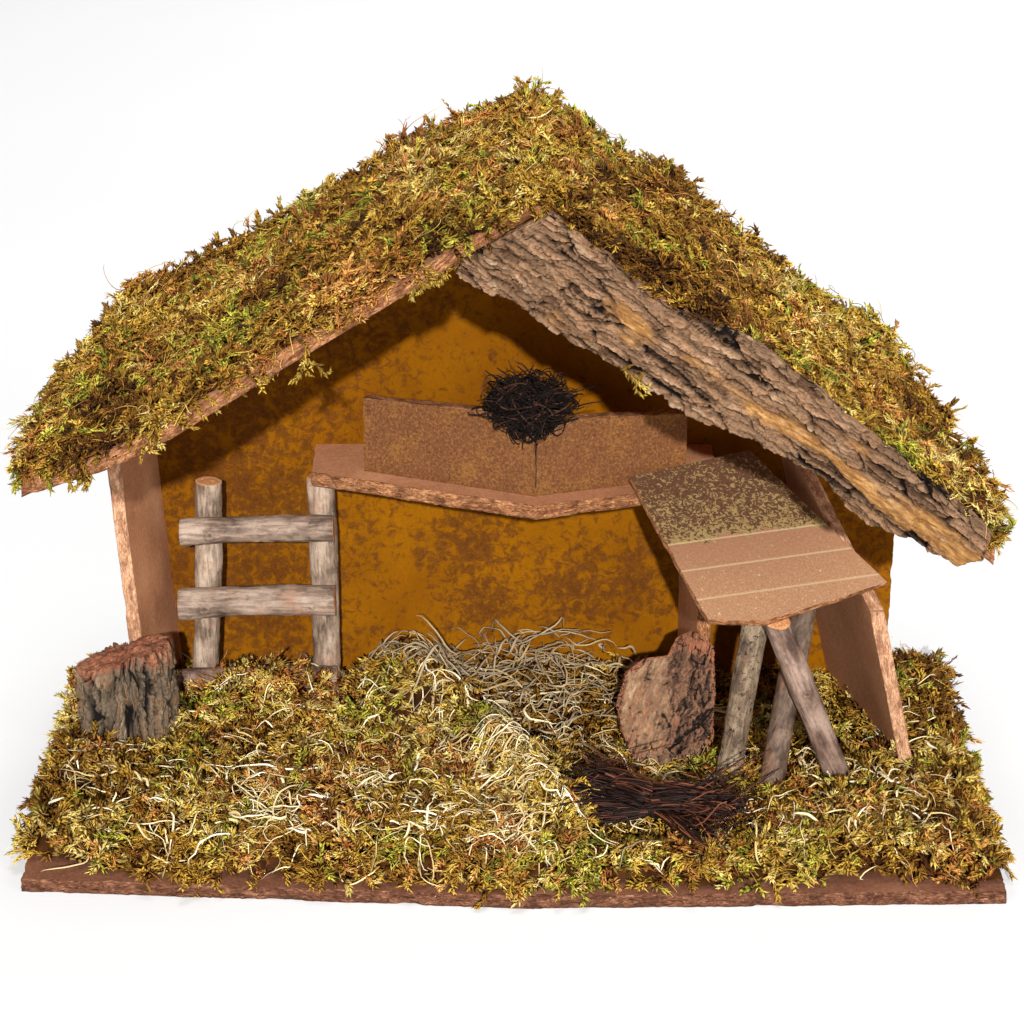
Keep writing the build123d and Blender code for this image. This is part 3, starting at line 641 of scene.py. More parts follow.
for name in ("divider", "roof_left", "roof_right", "loft_shelf"):
    rough_board(name, (board, board), cut_edge, tear=0.75 * MM)
for name in ("left_wall", "right_wall"):
    rough_board(name, (board, board), wall_edge, tear=0.75 * MM)
rough_board("base_board", (base_face, base_face), base_edge, tear=0.7 * MM)
back_normal = board_faces("back_wall")[0]
back_faces = (ochre, rear_board) if back_normal[1] < 0 else (rear_board, ochre)
rough_board("back_wall", back_faces, cut_edge)
for name in ("loft_rail_left", "loft_rail_right"):
    rough_board(name, (rail_board, rail_board), cut_edge, tear=0.35 * MM)


# Twigs

def section_middle(points, triangles, axis, level):
    """Middle and radius of a solid's section square to an axis."""
    side = points @ axis - level
    found = []
    for a, b in ((0, 1), (1, 2), (2, 0)):
        first, second = side[triangles[:, a]], side[triangles[:, b]]
        cut = first * second < 0
        share = (first / (first - second + 1e-30))[cut, None]
        found.append(points[triangles[cut, a]] * (1 - share) + points[triangles[cut, b]] * share)
    found = np.concatenate(found)
    out = unit(np.cross(axis, (0, 1, 0)))
    back = np.cross(out, axis)
    spans = [(found @ d).max() + (found @ d).min() for d in (out, back)]
    middle = axis * level + out * spans[0] / 2 + back * spans[1] / 2
    return middle, np.linalg.norm(found - middle, axis=1).max()


def end_plane(points, triangles, axis, sign):
    """Normal and offset of the flat end of a stick."""
    normals, areas = face_normals(points, triangles)
    middles = points[triangles].mean(1) @ axis
    reach = (points @ axis).max() - (points @ axis).min()
    limit = (points @ axis * sign).max() - 0.12 * reach
    chosen = (normals @ axis * sign > 0.5) & (middles * sign > limit)
    normal = unit((normals * areas[:, None])[chosen].sum(0))
    return normal, (points[triangles[chosen].ravel()] @ normal).max()


def twig(name, bark, knots=(), seed=0, sides=44, step=0.8 * MM, rough=0.45 * MM):
    """A stick with bark, knots and cut ends. knots are (share along, degrees from the front, size)."""
    points, triangles = node_mesh(name)
    axis = np.linalg.svd(points - points.mean(0), full_matrices=False)[2][0]
    axis = axis if axis[np.argmax(abs(axis))] > 0 else -axis
    low, high = (points @ axis).min(), (points @ axis).max()
    levels = low + (high - low) * np.array((0.12, 0.3, 0.5, 0.7, 0.88))
    sections = [section_middle(points, triangles, axis, level) for level in levels]
    middles = np.array([m for m, _ in sections])
    radii = np.array([r for _, r in sections])
    fits = [np.polyfit(levels, middles[:, k], 2) for k in range(3)]
    front = unit(np.array((0.0, -1.0, 0.0)) + axis * axis[1])
    aside = np.cross(axis, front)
    turns = np.arange(sides) * 2 * math.pi / sides
    out = np.cos(turns)[:, None] * front + np.sin(turns)[:, None] * aside
    count = int((high - low) / step)
    ends = []
    for sign in (-1, 1):
        normal, offset = end_plane(points, triangles, axis, sign)
        level = low if sign < 0 else high
        rim = np.array([np.polyval(fits[k], level) for k in range(3)]) + out * radii.mean()
        ends.append(level + (offset - rim @ normal) / (axis @ normal))
    share = np.linspace(0, 1, count)[:, None]
    level = ends[0][None] * (1 - share) + ends[1][None] * share
    centre = np.stack([np.polyval(fits[k], level) for k in range(3)], -1)
    radius = np.interp(level, levels, radii)
    flat = np.stack((level, np.broadcast_to(np.cos(turns), level.shape) * radius,
                     np.broadcast_to(np.sin(turns), level.shape) * radius), -1).reshape(-1, 3)
    bumps = fractal(flat, (14 * MM, 4 * MM, 4 * MM), 3, seed) * rough * 1.4
    bumps += noise(flat, (3 * MM, 1.2 * MM, 1.2 * MM), seed + 5) * rough * 0.45
    bumps += smooth(noise(flat, (1.2 * MM, 5 * MM, 5 * MM), seed + 8), 0.5, 0.9) * rough * -0.6
    dark = np.zeros(len(flat))
    for along, turn, size in knots:
        middle = low + along * (high - low)
        turn = math.radians(turn)
        at = np.array((middle, math.cos(turn) * radii.mean(), math.sin(turn) * radii.mean()))
        away = np.linalg.norm(flat - at, axis=1) / size
        bumps += size * (0.55 * np.exp(-away ** 2) - 0.75 * np.exp(-(away / 0.42) ** 2))
        dark = np.maximum(dark, np.exp(-(away / 0.4) ** 2))
        dark = np.maximum(dark, 0.45 * np.exp(-((away - 0.95) / 0.18) ** 2))
    bumps = bumps.reshape(level.shape)
    side_points = centre + out[None] * (radius + bumps)[..., None]
    caps, cap_faces = [], []
    start = count * sides
    for row, order in ((0, 1), (count - 1, -1)):
        rim = side_points[row]
        hub = rim.mean(0)
        rings = [hub + (rim - hub) * f for f in (0.8, 0.55, 0.28)]
        lift = axis * order * 0.35 * MM
        rings = [ring + lift * noise(ring, 1.6 * MM, seed + 3)[:, None] for ring in rings]
        caps.append(np.concatenate(rings + [hub[None]]))
        k = np.arange(sides)
        after = (k + 1) % sides
        bands = [row * sides + np.arange(sides)] + [start + j * sides + np.arange(sides) for j in range(3)]
        faces = []
        for outer, inner in zip(bands, bands[1:]):
            faces.append(np.stack((outer[k], inner[k], outer[after]), 1))
            faces.append(np.stack((outer[after], inner[k], inner[after]), 1))
        faces.append(np.stack((bands[-1][k], np.full(sides, start + 3 * sides), bands[-1][after]), 1))
        faces = np.concatenate(faces)
        cap_faces.append(faces if order > 0 else faces[:, ::-1])
        start += 3 * sides + 1
    skin = band_faces(count, sides)
    all_points = np.concatenate([side_points.reshape(-1, 3)] + caps)
    all_faces = np.concatenate([skin] + cap_faces)
    kinds = np.concatenate((np.zeros(len(skin)), np.ones(len(all_faces) - len(skin))))
    tested = skin[len(skin) // 2 + len(skin) // 3][None]
    outward = all_points[tested[0]].mean(0) - centre.mean((0, 1))
    if face_normals(all_points, tested)[0][0] @ outward < 0:
        all_faces = all_faces[:, ::-1]
    knotted = np.concatenate((dark, np.zeros(len(all_points) - len(dark))))
    piece = make_piece(name + "_twig", all_points, all_faces, [bark, cut_end], indices=kinds,
                       values={"knot": knotted})
    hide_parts(name)


twig("ladder_stile_left", twig_grey, [(0.8, 130, 2.2 * MM), (0.45, -60, 1.6 * MM)], 11)
twig("ladder_stile_right", twig_grey, [(0.62, 60, 1.8 * MM), (0.3, -30, 1.2 * MM)], 12)
twig("ladder_rung_top", twig_rung, [(0.2, 0, 2.4 * MM), (0.84, 25, 1.0 * MM), (0.62, 35, 0.8 * MM)], 13)
twig("ladder_rung_middle", twig_rung, [(0.17, 0, 2.6 * MM), (0.85, 10, 1.0 * MM), (0.07, 30, 1.1 * MM)], 14)
twig("ladder_rung_bottom", twig_brown, [(0.3, 20, 1.6 * MM)], 15)
twig("prop_left", twig_pale, [(0.55, -20, 1.6 * MM), (0.25, 40, 1.4 * MM)], 16, rough=0.4 * MM)
twig("prop_right", twig_brown, [(0.6, 10, 1.8 * MM), (0.9, -40, 1.4 * MM)], 17, rough=0.35 * MM)
twig("prop_rear", twig_dark, [(0.12, 10, 3.2 * MM), (0.5, 30, 1.8 * MM)], 18)


# Canopy

canopy_normal, canopy_top, canopy_under = board_faces("canopy")
if canopy_normal[2] < 0:
    canopy_normal, canopy_top = -canopy_normal, canopy_under
canopy_fall = unit(canopy_normal * canopy_normal[2] - UP)
canopy_levels = canopy_top @ canopy_fall
hardboard = hardboard_material(canopy_fall, canopy_levels.min(), canopy_levels.max())
canopy_sides = (hardboard, board) if board_faces("canopy")[0][2] > 0 else (board, hardboard)
rough_board("canopy", canopy_sides, cut_edge, tear=0.3 * MM, step=0.8 * MM, layers=5,
            wave=0.3 * MM)


# Nails

def nail_heads(name, way):
    """Domed heads over the flat heads of nails that face the given way."""
    way = np.array(way, float)
    points, triangles = node_mesh(name)
    normals, _ = face_normals(points, triangles)
    rims = points[np.unique(triangles[normals @ way > 0.99])]
    sides = 20
    profile = ((1, -0.1), (0.98, 0.15), (0.8, 0.3), (0.4, 0.38))
    meshes = []
    while len(rims):
        close = np.linalg.norm(rims - rims[0], axis=1) < 4 * MM
        middle = (rims[close].min(0) + rims[close].max(0)) / 2
        radius = np.linalg.norm(rims[close] - middle, axis=1).max()
        rims = rims[~close]
        across = unit(np.cross(way, (0.3, 0.5, 0.8)))
        other = np.cross(way, across)
        turns = np.arange(sides) * 2 * math.pi / sides
        ring = np.outer(np.cos(turns), across) + np.outer(np.sin(turns), other)
        rows = [middle + ring * radius * f + way * h * MM for f, h in profile]
        corners = np.concatenate(rows + [(middle + way * 0.4 * MM)[None]])
        k = np.arange(sides)
        rim = (len(profile) - 1) * sides
        cap = np.stack((rim + k, rim + (k + 1) % sides, np.full(sides, rim + sides)), 1)
        faces = np.concatenate((band_faces(len(profile), sides), cap))
        meshes.append((corners, faces, np.full((len(corners), 2), 0.5)))
    corners, faces, _ = joined(*meshes)
    piece = make_piece(name + "_heads", corners, faces, [steel])
    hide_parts(name)


for name in ("base_nails", "roof_nails", "ladder_nails"):
    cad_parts[name].data.materials.clear()
    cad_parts[name].data.materials.append(steel)
nail_heads("wall_nails", (0, 1, 0))


# Bark

def polygon_span(outline, places):
    """Lowest and highest second coordinate of an outline at some first coordinates."""
    a, b = outline, np.roll(outline, -1, 0)
    low, high = np.full(len(places), np.inf), np.full(len(places), -np.inf)
    for (x0, y0), (x1, y1) in zip(a, b):
        if x0 == x1:
            continue
        inside = (places >= min(x0, x1)) & (places <= max(x0, x1))
        y = y0 + (places - x0) * (y1 - y0) / (x1 - x0)
        low = np.where(inside, np.minimum(low, y), low)
        high = np.where(inside, np.maximum(high, y), high)
    return low, high


def terraces(values, count, riser):
    """Values pressed into steps, with risers that take up the given share of each step."""
    steps = values * count
    return (np.floor(steps) + smooth(steps - np.floor(steps), 1 - riser, 1.0)) / count


def cells(flat, size, seed):
    """Irregular plates in the first two coordinates: distance inside the rim, a number from 0 to 1 for each
    plate, and the place in it."""
    place = flat[:, :2] / np.asarray(size) + seed * 7.13
    cell = np.floor(place).astype(np.int64)
    first, second = np.full(len(flat), np.inf), np.full(len(flat), np.inf)
    number = np.zeros(len(flat))
    inside = np.zeros((len(flat), 2))
    for i, j in itertools.product((-1, 0, 1), repeat=2):
        at = cell + (i, j)
        mixed = at[:, 0] * 73856093 ^ at[:, 1] * 19349663 ^ seed * 83492791
        mixed = (mixed ^ (mixed >> 13)) * 1274126177
        a, b, c = (((mixed >> shift) & 0xFFF) / 4095 for shift in (2, 14, 26))
        way = place - at - 0.1 - 0.8 * np.stack((a, b), 1)
        far = np.hypot(way[:, 0], way[:, 1])
        closer = far < first
        second = np.where(closer, first, np.minimum(second, far))
        number = np.where(closer, c, number)
        inside = np.where(closer[:, None], way, inside)
        first = np.where(closer, far, first)
    return second - first, number, inside


def bark_relief(flat, scale, seed):
    """Plates, flakes and cracks of bark that runs along the first coordinate: a relief from about -1.5 to 1,
    and a tint from 0 to 1 that changes from flake to flake."""
    size = MM * scale
    warp = np.zeros((len(flat), 3))
    bends = ((2.6, 13, 1.5, 11), (1.1, 4, 0.5, 3.5), (0.5, 1.6, 0.2, 1.5))
    for k, (push, length, side_push, side_length) in enumerate(bends):
        warp[:, 0] += push * noise(flat, length * size, seed + 31 + 2 * k)
        warp[:, 1] += side_push * noise(flat, side_length * size, seed + 32 + 2 * k)
    place = flat + warp * size
    rim, plate, inside = cells(place, np.array((27, 4.6)) * size, seed)
    small_rim, flake, small_inside = cells(place, np.array((9, 1.5)) * size, seed + 5)
    broad = fractal(place, np.array((40, 8, 9)) * size, 3, seed + 8)
    relief = 0.5 * broad + 0.7 * (plate - 0.5) - 0.3 * inside[:, 1]
    relief = relief + 0.45 * (flake - 0.5) - 0.3 * small_inside[:, 1]
    relief = relief - 0.7 * (1 - smooth(rim, 0.0, 0.12)) - 0.25 * (1 - smooth(small_rim, 0.0, 0.12))
    cracks = ((1.0, 55, 5, 0.92, 0.985, 13), (0.5, 26, 3, 0.94, 0.995, 14))
    for deep, long, wide, low, high, number in cracks:
        crack = 1 - abs(noise(place, np.array((long, wide, 9)) * size, seed + number))
        relief = relief - deep * smooth(crack, low, high)
    relief = relief + 0.14 * fractal(place, np.array((4, 0.9, 2)) * size, 3, seed + 9)
    return relief, np.clip(0.62 * flake + 0.38 * plate, 0, 1)


def bark_plank(name, material, depth, scale, wear_and_shade, seed, step, ragged, squash=1.0, fold=0.0):
    """A flat piece of bark in place of its node, rough in front. wear_and_shade gives how bare it is, what
    its tint gains and how deep it is cracked, from the shares along, up, to the right and in height, and
    from noise; for the slab the tint's loss is painted shade. squash shortens the plates, and fold sets the
    right half back."""
    normal, top, bottom = board_faces(name)
    if normal[1] > 0:
        normal, top, bottom = -normal, bottom, top
    axis = np.linalg.svd(top - top.mean(0), full_matrices=False)[2][0]
    axis = axis if axis[0] - axis[2] > 0 else -axis
    up = np.cross(normal, axis)
    up = up if up[2] > 0 else -up
    outline = np.stack((top @ axis, top @ up), 1)
    back = (bottom @ normal).max()
    thick = (top @ normal).max() - back
    low, high = outline[:, 0].min(), outline[:, 0].max()
    count = int((high - low) / step)
    along = np.linspace(low + 0.2 * MM, high - 0.2 * MM, count)
    under, over = polygon_span(outline, along)
    wobble = np.stack((along, np.zeros(count), np.zeros(count)), 1)
    broken = terraces(noise(wobble, 17 * MM, seed + 23), 3, 0.1)
    under = under + ragged * (fractal(wobble, 9 * MM, 5, seed + 21) + broken)
    over = over + ragged * fractal(wobble, 9 * MM, 5, seed + 22)
    over = np.maximum(over, under + 1.5 * MM)
    faces = int(np.median(over - under) / step)
    rim = 12
    rear = 10
    up_share = np.concatenate((np.linspace(0, 1, faces), np.ones(rim), np.linspace(1, 0, rear),
                               np.zeros(rim)))
    depth_share = np.concatenate((np.ones(faces), np.linspace(1, 0, rim + 2)[1:-1], np.zeros(rear),
                                  np.linspace(0, 1, rim + 2)[1:-1]))
    loop = len(up_share)
    height = under[:, None] + (over - under)[:, None] * up_share[None]
    flat = np.stack((np.broadcast_to(along[:, None], height.shape), height,
                     np.broadcast_to(depth_share * thick, height.shape)), -1).reshape(-1, 3)
    along_share = np.repeat(np.linspace(0, 1, count), loop)
    level_share = np.tile(up_share, count)
    facing = np.tile(depth_share, count)
    spots = np.outer(flat[:, 0], axis) + np.outer(flat[:, 1], up)
    right, raised = (((spots - spots.min(0)) / np.ptp(spots, axis=0))[:, k] for k in (0, 2))
    cloud = fractal(flat, (14 * MM, 5 * MM, 5 * MM), 5, seed + 51)
    bare, gain, crack = wear_and_shade(along_share, level_share, right, raised, cloud)
    rough, tint = bark_relief(flat * np.array((squash, 1, 1)), scale, seed)
    tint = np.clip(tint + gain, 0, 1)
    peeled = 0.1 + 0.35 * fractal(flat, (24 * MM, 7 * MM, 7 * MM), 4, seed + 52) - 0.25 * smooth(
        1 - abs(noise(flat, (16 * MM, 1.8 * MM, 3 * MM), seed + 53)), 0.85, 0.99)
    relief = rough * (1 - bare) + peeled * bare - crack
    rim_fall = np.tile(np.clip(np.minimum(up_share, 1 - up_share) * 2.5, 0, 1) ** 0.5, count)
    out = back + facing * (thick + depth * (relief - 0.4) - 0.35 * depth * (1 - rim_fall))
    set_back = smooth(right - 0.5 + 0.03 * fractal(flat, 12 * MM, 3, seed + 54), 0.0, 0.12)
    out = out - fold * facing * set_back
    edge = (facing > 0) & (facing < 1)
    layers = terraces(noise(flat, (15 * MM, 30 * MM, 1.5 * MM), seed + 41), 3, 0.3) * 1.3 * MM * edge
    side = np.tile(np.where(up_share > 0.5, 1.0, -1.0), count)
    points = np.outer(flat[:, 0], axis) + np.outer(flat[:, 1] + side * layers, up) + np.outer(out, normal)
    skin = band_faces(count, loop)[:, ::-1]
    hubs = np.stack((points[:loop].mean(0), points[-loop:].mean(0)))
    k = np.arange(loop)
    after = (k + 1) % loop
    last_ring = (count - 1) * loop
    first = np.stack((np.full(loop, count * loop), k, after), 1)
    last = np.stack((np.full(loop, count * loop + 1), last_ring + after, last_ring + k), 1)
    triangles = np.concatenate((skin, first, last))
    tested = len(skin) // 2 + faces // 2 + (count // 2) * loop
    if face_normals(points, skin[tested:tested + 1])[0][0] @ normal < 0:
        triangles = triangles[:, ::-1]
    half = np.array((0.5, 0.5))
    # relief also darkens the cracks in the bark material, as painted shade
    piece = make_piece(name + "_piece", np.concatenate((points, hubs)), triangles, [material],
                       values={"relief": np.concatenate((relief * 0.4 + 0.6, half)),
                               "tint": np.concatenate((tint, half)), "bare": np.concatenate((bare, half))})
    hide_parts(name)


def strip_wear(along, up, right, high, cloud):
    """Bare inner bark: a ragged band that starts high, sinks and widens to the low end."""
    band = np.interp(along, (0.0, 0.27, 0.5, 0.7, 0.85, 1.0), (0.7, 0.62, 0.47, 0.4, 0.36, 0.3))
    wide = np.interp(along, (0.2, 0.25, 0.33, 0.42, 0.55, 0.7, 0.8, 1.0),
                     (-0.2, 0.13, 0.16, 0.09, 0.1, 0.1, 0.22, 0.28))
    bare = smooth(wide - abs(up - band) + 0.24 * cloud, -0.02, 0.12)
    patches = ((0.2, 0.1, 0.07), (0.26, 0.14, 0.06), (0.62, 0.9, 0.06), (0.72, 0.82, 0.08),
               (0.14, 0.86, 0.05))
    for x, y, reach in patches:
        patch = smooth(reach - np.hypot((along - x) * 3.2, up - y) + 0.14 * cloud, -0.02, 0.08)
        bare = np.maximum(bare, 0.8 * patch)
    return bare, 0.0, 0.0


def slab_wear_and_shade(along, up, right, high, cloud):
    """The leaning slab: tan and smooth on the left, cracked on the right and darker there as painted shade
    on the half turned from the light, with a reddish rim.
    """
    edge = np.minimum(np.minimum(up, 1 - up) * 1.4, np.minimum(along, 1 - along))
    rim = smooth(0.08 - edge + 0.14 * cloud + 0.1 * smooth(high, 0.7, 0.9), 0.0, 0.1)
    left = smooth(0.52 - right + 0.12 * cloud, -0.05, 0.09)
    line = high - 0.12 - 0.62 * (right - 0.5) + 0.05 * cloud
    crack = 1.2 * np.exp(-(line / 0.015) ** 2) * smooth(right, 0.44, 0.55)
    mottle = 0.3 + 0.55 * smooth(cloud, -0.2, 0.25)
    # less tint on the right half: painted shade on the side turned from the light
    return mottle * left * (1 - rim), 0.6 * rim - 0.2 * (1 - left) * (1 - rim), crack


bark_plank("roof_bark", pine_bark, 4.2 * MM, 0.85, strip_wear, 61, 0.42 * MM, 1.8 * MM)
bark_plank("bark_slab", slab_bark, 2.2 * MM, 0.62, slab_wear_and_shade, 62, 0.4 * MM, 1.4 * MM, squash=2.4,
           fold=3 * MM)


def bark_stump():
    """A fissured stump with a crumbly top, in place of its node."""
    points, triangles = node_mesh("bark_stump")
    normals, _ = face_normals(points, triangles)
    outline = points[face_loop(points, triangles, normals[:, 2] < -0.9)]
    floor_level = outline[:, 2].mean()
    middle = outline.mean(0)
    top = points[triangles[normals[:, 2] > 0.8]].reshape(-1, 3)
    plane = np.linalg.lstsq(np.c_[top[:, :2], np.ones(len(top))], top[:, 2], rcond=None)[0]
    sides = 260
    turns = np.linspace(0, 2 * math.pi, sides, endpoint=False)
    angles = np.arctan2(outline[:, 1] - middle[1], outline[:, 0] - middle[0])
    order = np.argsort(angles)
    around = np.concatenate((angles[order] - 2 * math.pi, angles[order], angles[order] + 2 * math.pi))
    reach = np.tile(np.linalg.norm((outline - middle)[order, :2], axis=1), 3)
    radius = np.interp(np.where(turns > math.pi, turns - 2 * math.pi, turns), around, reach)
    out = np.stack((np.cos(turns), np.sin(turns)), 1)
    rim = middle[:2] + out * radius[:, None]
    rise = np.c_[rim, np.ones(sides)] @ plane - floor_level
    rows = 100
    share = np.linspace(0, 1, rows)[:, None]
    flat = np.stack((share * rise[None], np.broadcast_to(out[:, 0] * radius, (rows, sides)),
                     np.broadcast_to(out[:, 1] * radius, (rows, sides))), -1).reshape(-1, 3)
    relief, tint = bark_relief(flat, 0.8, 71)
    grooves = smooth(1 - abs(noise(flat, (30 * MM, 8 * MM, 8 * MM), 72)), 0.84, 0.99)
    relief = relief - 0.7 * grooves
    push = (2.6 * MM * (relief + 0.1)).reshape(rows, sides) - 1.2 * MM * smooth(share, 0.9, 1.0) ** 2
    side = np.concatenate((middle[:2] + out[None] * (radius[None] + push)[..., None],
                           (floor_level + share * rise[None])[..., None]), -1)
    side[..., 2] += (1.6 * MM * fractal(side[-1], 7 * MM, 4, 76))[None] * share ** 3
    bare = smooth(share + 0.16 * fractal(flat, 7 * MM, 4, 73).reshape(rows, sides), 0.84, 0.97).ravel()
    rings = []
    hub = side[-1].mean(0)
    for f in np.linspace(0.95, 0.05, 18):
        ring = hub + (side[-1] - hub) * f
        ring[:, 2] += 2.2 * MM * fractal(ring, 6 * MM, 4, 74) * (1 - f ** 6) + 0.8 * MM * (1 - f)
        rings.append(ring)
    all_rows = np.concatenate((side, np.array(rings)))
    total = len(all_rows)
    points = np.concatenate((all_rows.reshape(-1, 3), all_rows[-1].mean(0)[None], all_rows[0].mean(0)[None]))
    skin = band_faces(total, sides)
    k = np.arange(sides)
    last = (total - 1) * sides
    cap = np.stack((last + k, last + (k + 1) % sides, np.full(sides, total * sides)), 1)
    foot = np.stack(((k + 1) % sides, k, np.full(sides, total * sides + 1)), 1)
    inner = len(points) - len(relief)
    # the crumbly top's relief, darkened in its hollows by the bark material as painted shade
    crumbs = 0.62 + 0.5 * fractal(points[len(relief):], 4 * MM, 4, 75)
    piece = make_piece("bark_stump_piece", points, np.concatenate((skin, cap, foot)), [stump_bark],
                       values={"relief": np.concatenate((relief * 0.4 + 0.62, crumbs)),
                               "tint": np.concatenate((tint, np.full(inner, 0.5))),
                               "bare": np.concatenate((bare, np.ones(inner)))})
    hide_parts("bark_stump")


bark_stump()


# Moss

def fronds(rng, roots, normals, forward, lengths, tones, leaves=18, bushy=1.0, lift=(-0.1, 0.7),
           droop=(0.1, 0.8)):
    """Stringy shoots, a wavy stem with small pointed leaves or none, as corners, triangles and UVs."""
    count = len(roots)
    normals = unit(normals)
    forward = unit(forward - normals * np.sum(forward * normals, 1, keepdims=True))
    aside = np.cross(normals, forward)
    turn = rng.normal(0, 1.7, (count, 1))
    sway = rng.uniform(0.2, 1.0, (count, 1))
    phase = rng.uniform(0, 2 * math.pi, (count, 1))
    beat = rng.uniform(3, 8, (count, 1))
    rise = rng.uniform(*lift, (count, 1))
    fall = rng.uniform(*droop, (count, 1))

    def stem(t):
        """Tangents and side directions of the stems at shares t of their length."""
        bend = turn * t[None] ** 1.4 + sway * np.sin(phase + beat * t[None])
        heading = forward[:, None] * np.cos(bend)[..., None] + aside[:, None] * np.sin(bend)[..., None]
        climb = rise - 2 * fall * t[None] + 0.4 * sway * np.sin(1.7 * phase + beat * t[None])
        heading = heading + normals[:, None] * climb[..., None]
        sideways = aside[:, None] * np.cos(bend)[..., None] - forward[:, None] * np.sin(bend)[..., None]
        return unit(heading), sideways

    steps = 8
    heading = stem((np.arange(steps) + 0.5) / steps)[0]
    onward = np.cumsum(heading, 1) * (lengths / steps)[:, None, None]
    path = np.concatenate((roots[:, None], roots[:, None] + onward), 1)
    if leaves == 0:
        return tubes(path, np.linspace(0.2, 0.09, steps + 1)[None] * MM * np.ones((count, 1)), 3, tones)
    thick = np.linspace(0.34, 0.15, steps // 2 + 1)[None] * MM * np.ones((count, 1))
    stems = tubes(path[:, ::2], thick, 3, tones)
    at = np.linspace(0.08, 1.0, leaves)
    cell = np.minimum((at * steps).astype(int), steps - 1)
    inside = (at * steps - cell)[None, :, None]
    base = path[:, cell] * (1 - inside) + path[:, cell + 1] * inside
    tangent, wide = stem(at)
    over = np.cross(tangent, wide)
    sign = np.where(np.arange(leaves) % 2, 1.0, -1.0)[None, :, None]
    spread = rng.uniform(0.3, 0.85, (count, leaves, 1))
    roll = rng.normal(0.2, 0.8, (count, leaves, 1))
    outward = wide * sign * np.cos(roll) + over * np.sin(roll)
    way = unit(tangent * np.cos(spread) + outward * np.sin(spread))
    size = MM * bushy * (2.9 - 0.9 * at)[None, :, None] * rng.uniform(0.7, 1.3, (count, leaves, 1))
    blade = unit(np.cross(way, over + 0.5 * outward))
    under = np.cross(blade, way)
    middle = base + way * size * 0.4
    left = middle + (blade * 0.27 - under * 0.1) * size
    right = middle - (blade * 0.27 + under * 0.1) * size
    tip = base + (way + 0.3 * tangent) * size
    corners = np.stack((base, left, right, tip), 2).reshape(-1, 3)
    one = np.array(((0, 1, 3), (0, 3, 2), (0, 2, 1), (1, 2, 3)))
    triangles = (one[None] + (np.arange(count * leaves) * 4)[:, None, None]).reshape(-1, 3)
    along = np.repeat(at[None], count, 0) * 0.72
    u = tones[:, None] + rng.normal(0, 0.02, (count, leaves))
    uv = np.stack((np.stack((u, u - 0.012, u + 0.012, u), -1),
                   np.stack((along, along + 0.1, along + 0.1, along + 0.28), -1)), -1)
    return joined(stems, (corners, triangles, np.clip(uv.reshape(-1, 2), 0.001, 0.999)))


class Bed:
    """A surface that moss grows on: a plane, and the height of solids over it."""

    def __init__(self, nodes, origin, along, across):
        points, triangles = node_mesh(*nodes)
        self.nodes = nodes
        self.origin, self.along, self.across = (np.asarray(v, float) for v in (origin, along, across))
        self.normal = np.cross(self.along, self.across)
        self.solid = BVHTree.FromPolygons(points.tolist(), triangles.tolist())
        flat = np.stack(((points - self.origin) @ self.along, (points - self.origin) @ self.across), 1)
        self.low, self.high = flat.min(0), flat.max(0)

    def place(self, flat, height):
        """Points over the plane."""
        return (self.origin + np.outer(flat[:, 0], self.along) + np.outer(flat[:, 1], self.across) +
                np.outer(height, self.normal))

    def heights(self, flat):
        """Height of the solids over the plane, or nan beside them."""
        above = 0.2
        start = self.place(flat, np.full(len(flat), above))
        down = Vector(-self.normal)
        found = [self.solid.ray_cast(Vector(p), down) for p in start]
        return np.array([above - hit[3] if hit[0] is not None else np.nan for hit in found])

    def scatter(self, rng, count):
        """Random places on the bed and the solids' height there."""
        flat = rng.uniform(self.low, self.high, (count, 2))
        height = self.heights(flat)
        kept = ~np.isnan(height)
        return flat[kept], height[kept]


def clumps(rng, flat, spacing):
    """Distance to the nearest of scattered tuft middles, the way from it, and a number for each tuft."""
    area = np.ptp(flat, axis=0)
    middles = rng.uniform(flat.min(0), flat.max(0), (int(area[0] * area[1] / spacing ** 2) + 1, 2))
    nearest = np.concatenate([np.argmin(((part[:, None] - middles[None]) ** 2).sum(-1), 1)
                              for part in np.array_split(flat, len(flat) // 500 + 1)])
    way = flat - middles[nearest]
    return np.linalg.norm(way, axis=1), way, rng.uniform(0, 1, len(middles))[nearest]


def moss_tone(rng, place, tuft, patch):
    """A tone along the moss colours: mostly olive to gold, with tan and green patches."""
    count = len(place)
    cloud = fractal(place, patch, 3, 81)
    tone = 0.34 + 0.42 * cloud + 0.3 * (tuft - 0.5) + rng.normal(0, 0.1, count)
    tone = np.clip(tone, 0.03, 0.63)
    warm = fractal(place, patch * 0.5, 3, 82) + rng.normal(0, 0.2, count) > 0.3
    green = fractal(place, patch * 0.6, 3, 83) + rng.normal(0, 0.16, count) > 0.26
    tone = np.where(warm, rng.uniform(0.68, 0.85, count), tone)
    return np.where(green & ~warm, rng.uniform(0.88, 0.99, count), tone)


def moss_pieces(name, nodes, mesh, most=185000):
    """Pieces of moss, none with more triangles than the given most."""
    points, triangles, uv = mesh
    parts = int(np.ceil(len(triangles) / most))
    for number, part in enumerate(np.array_split(np.arange(len(triangles)), parts)):
        used, faces = np.unique(triangles[part], return_inverse=True)
        faces = faces.reshape(-1, 3)
        piece = make_piece(f"{name}_{number + 1}", points[used], faces, [moss], uv=uv[used])
        for node in nodes:
            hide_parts(node)


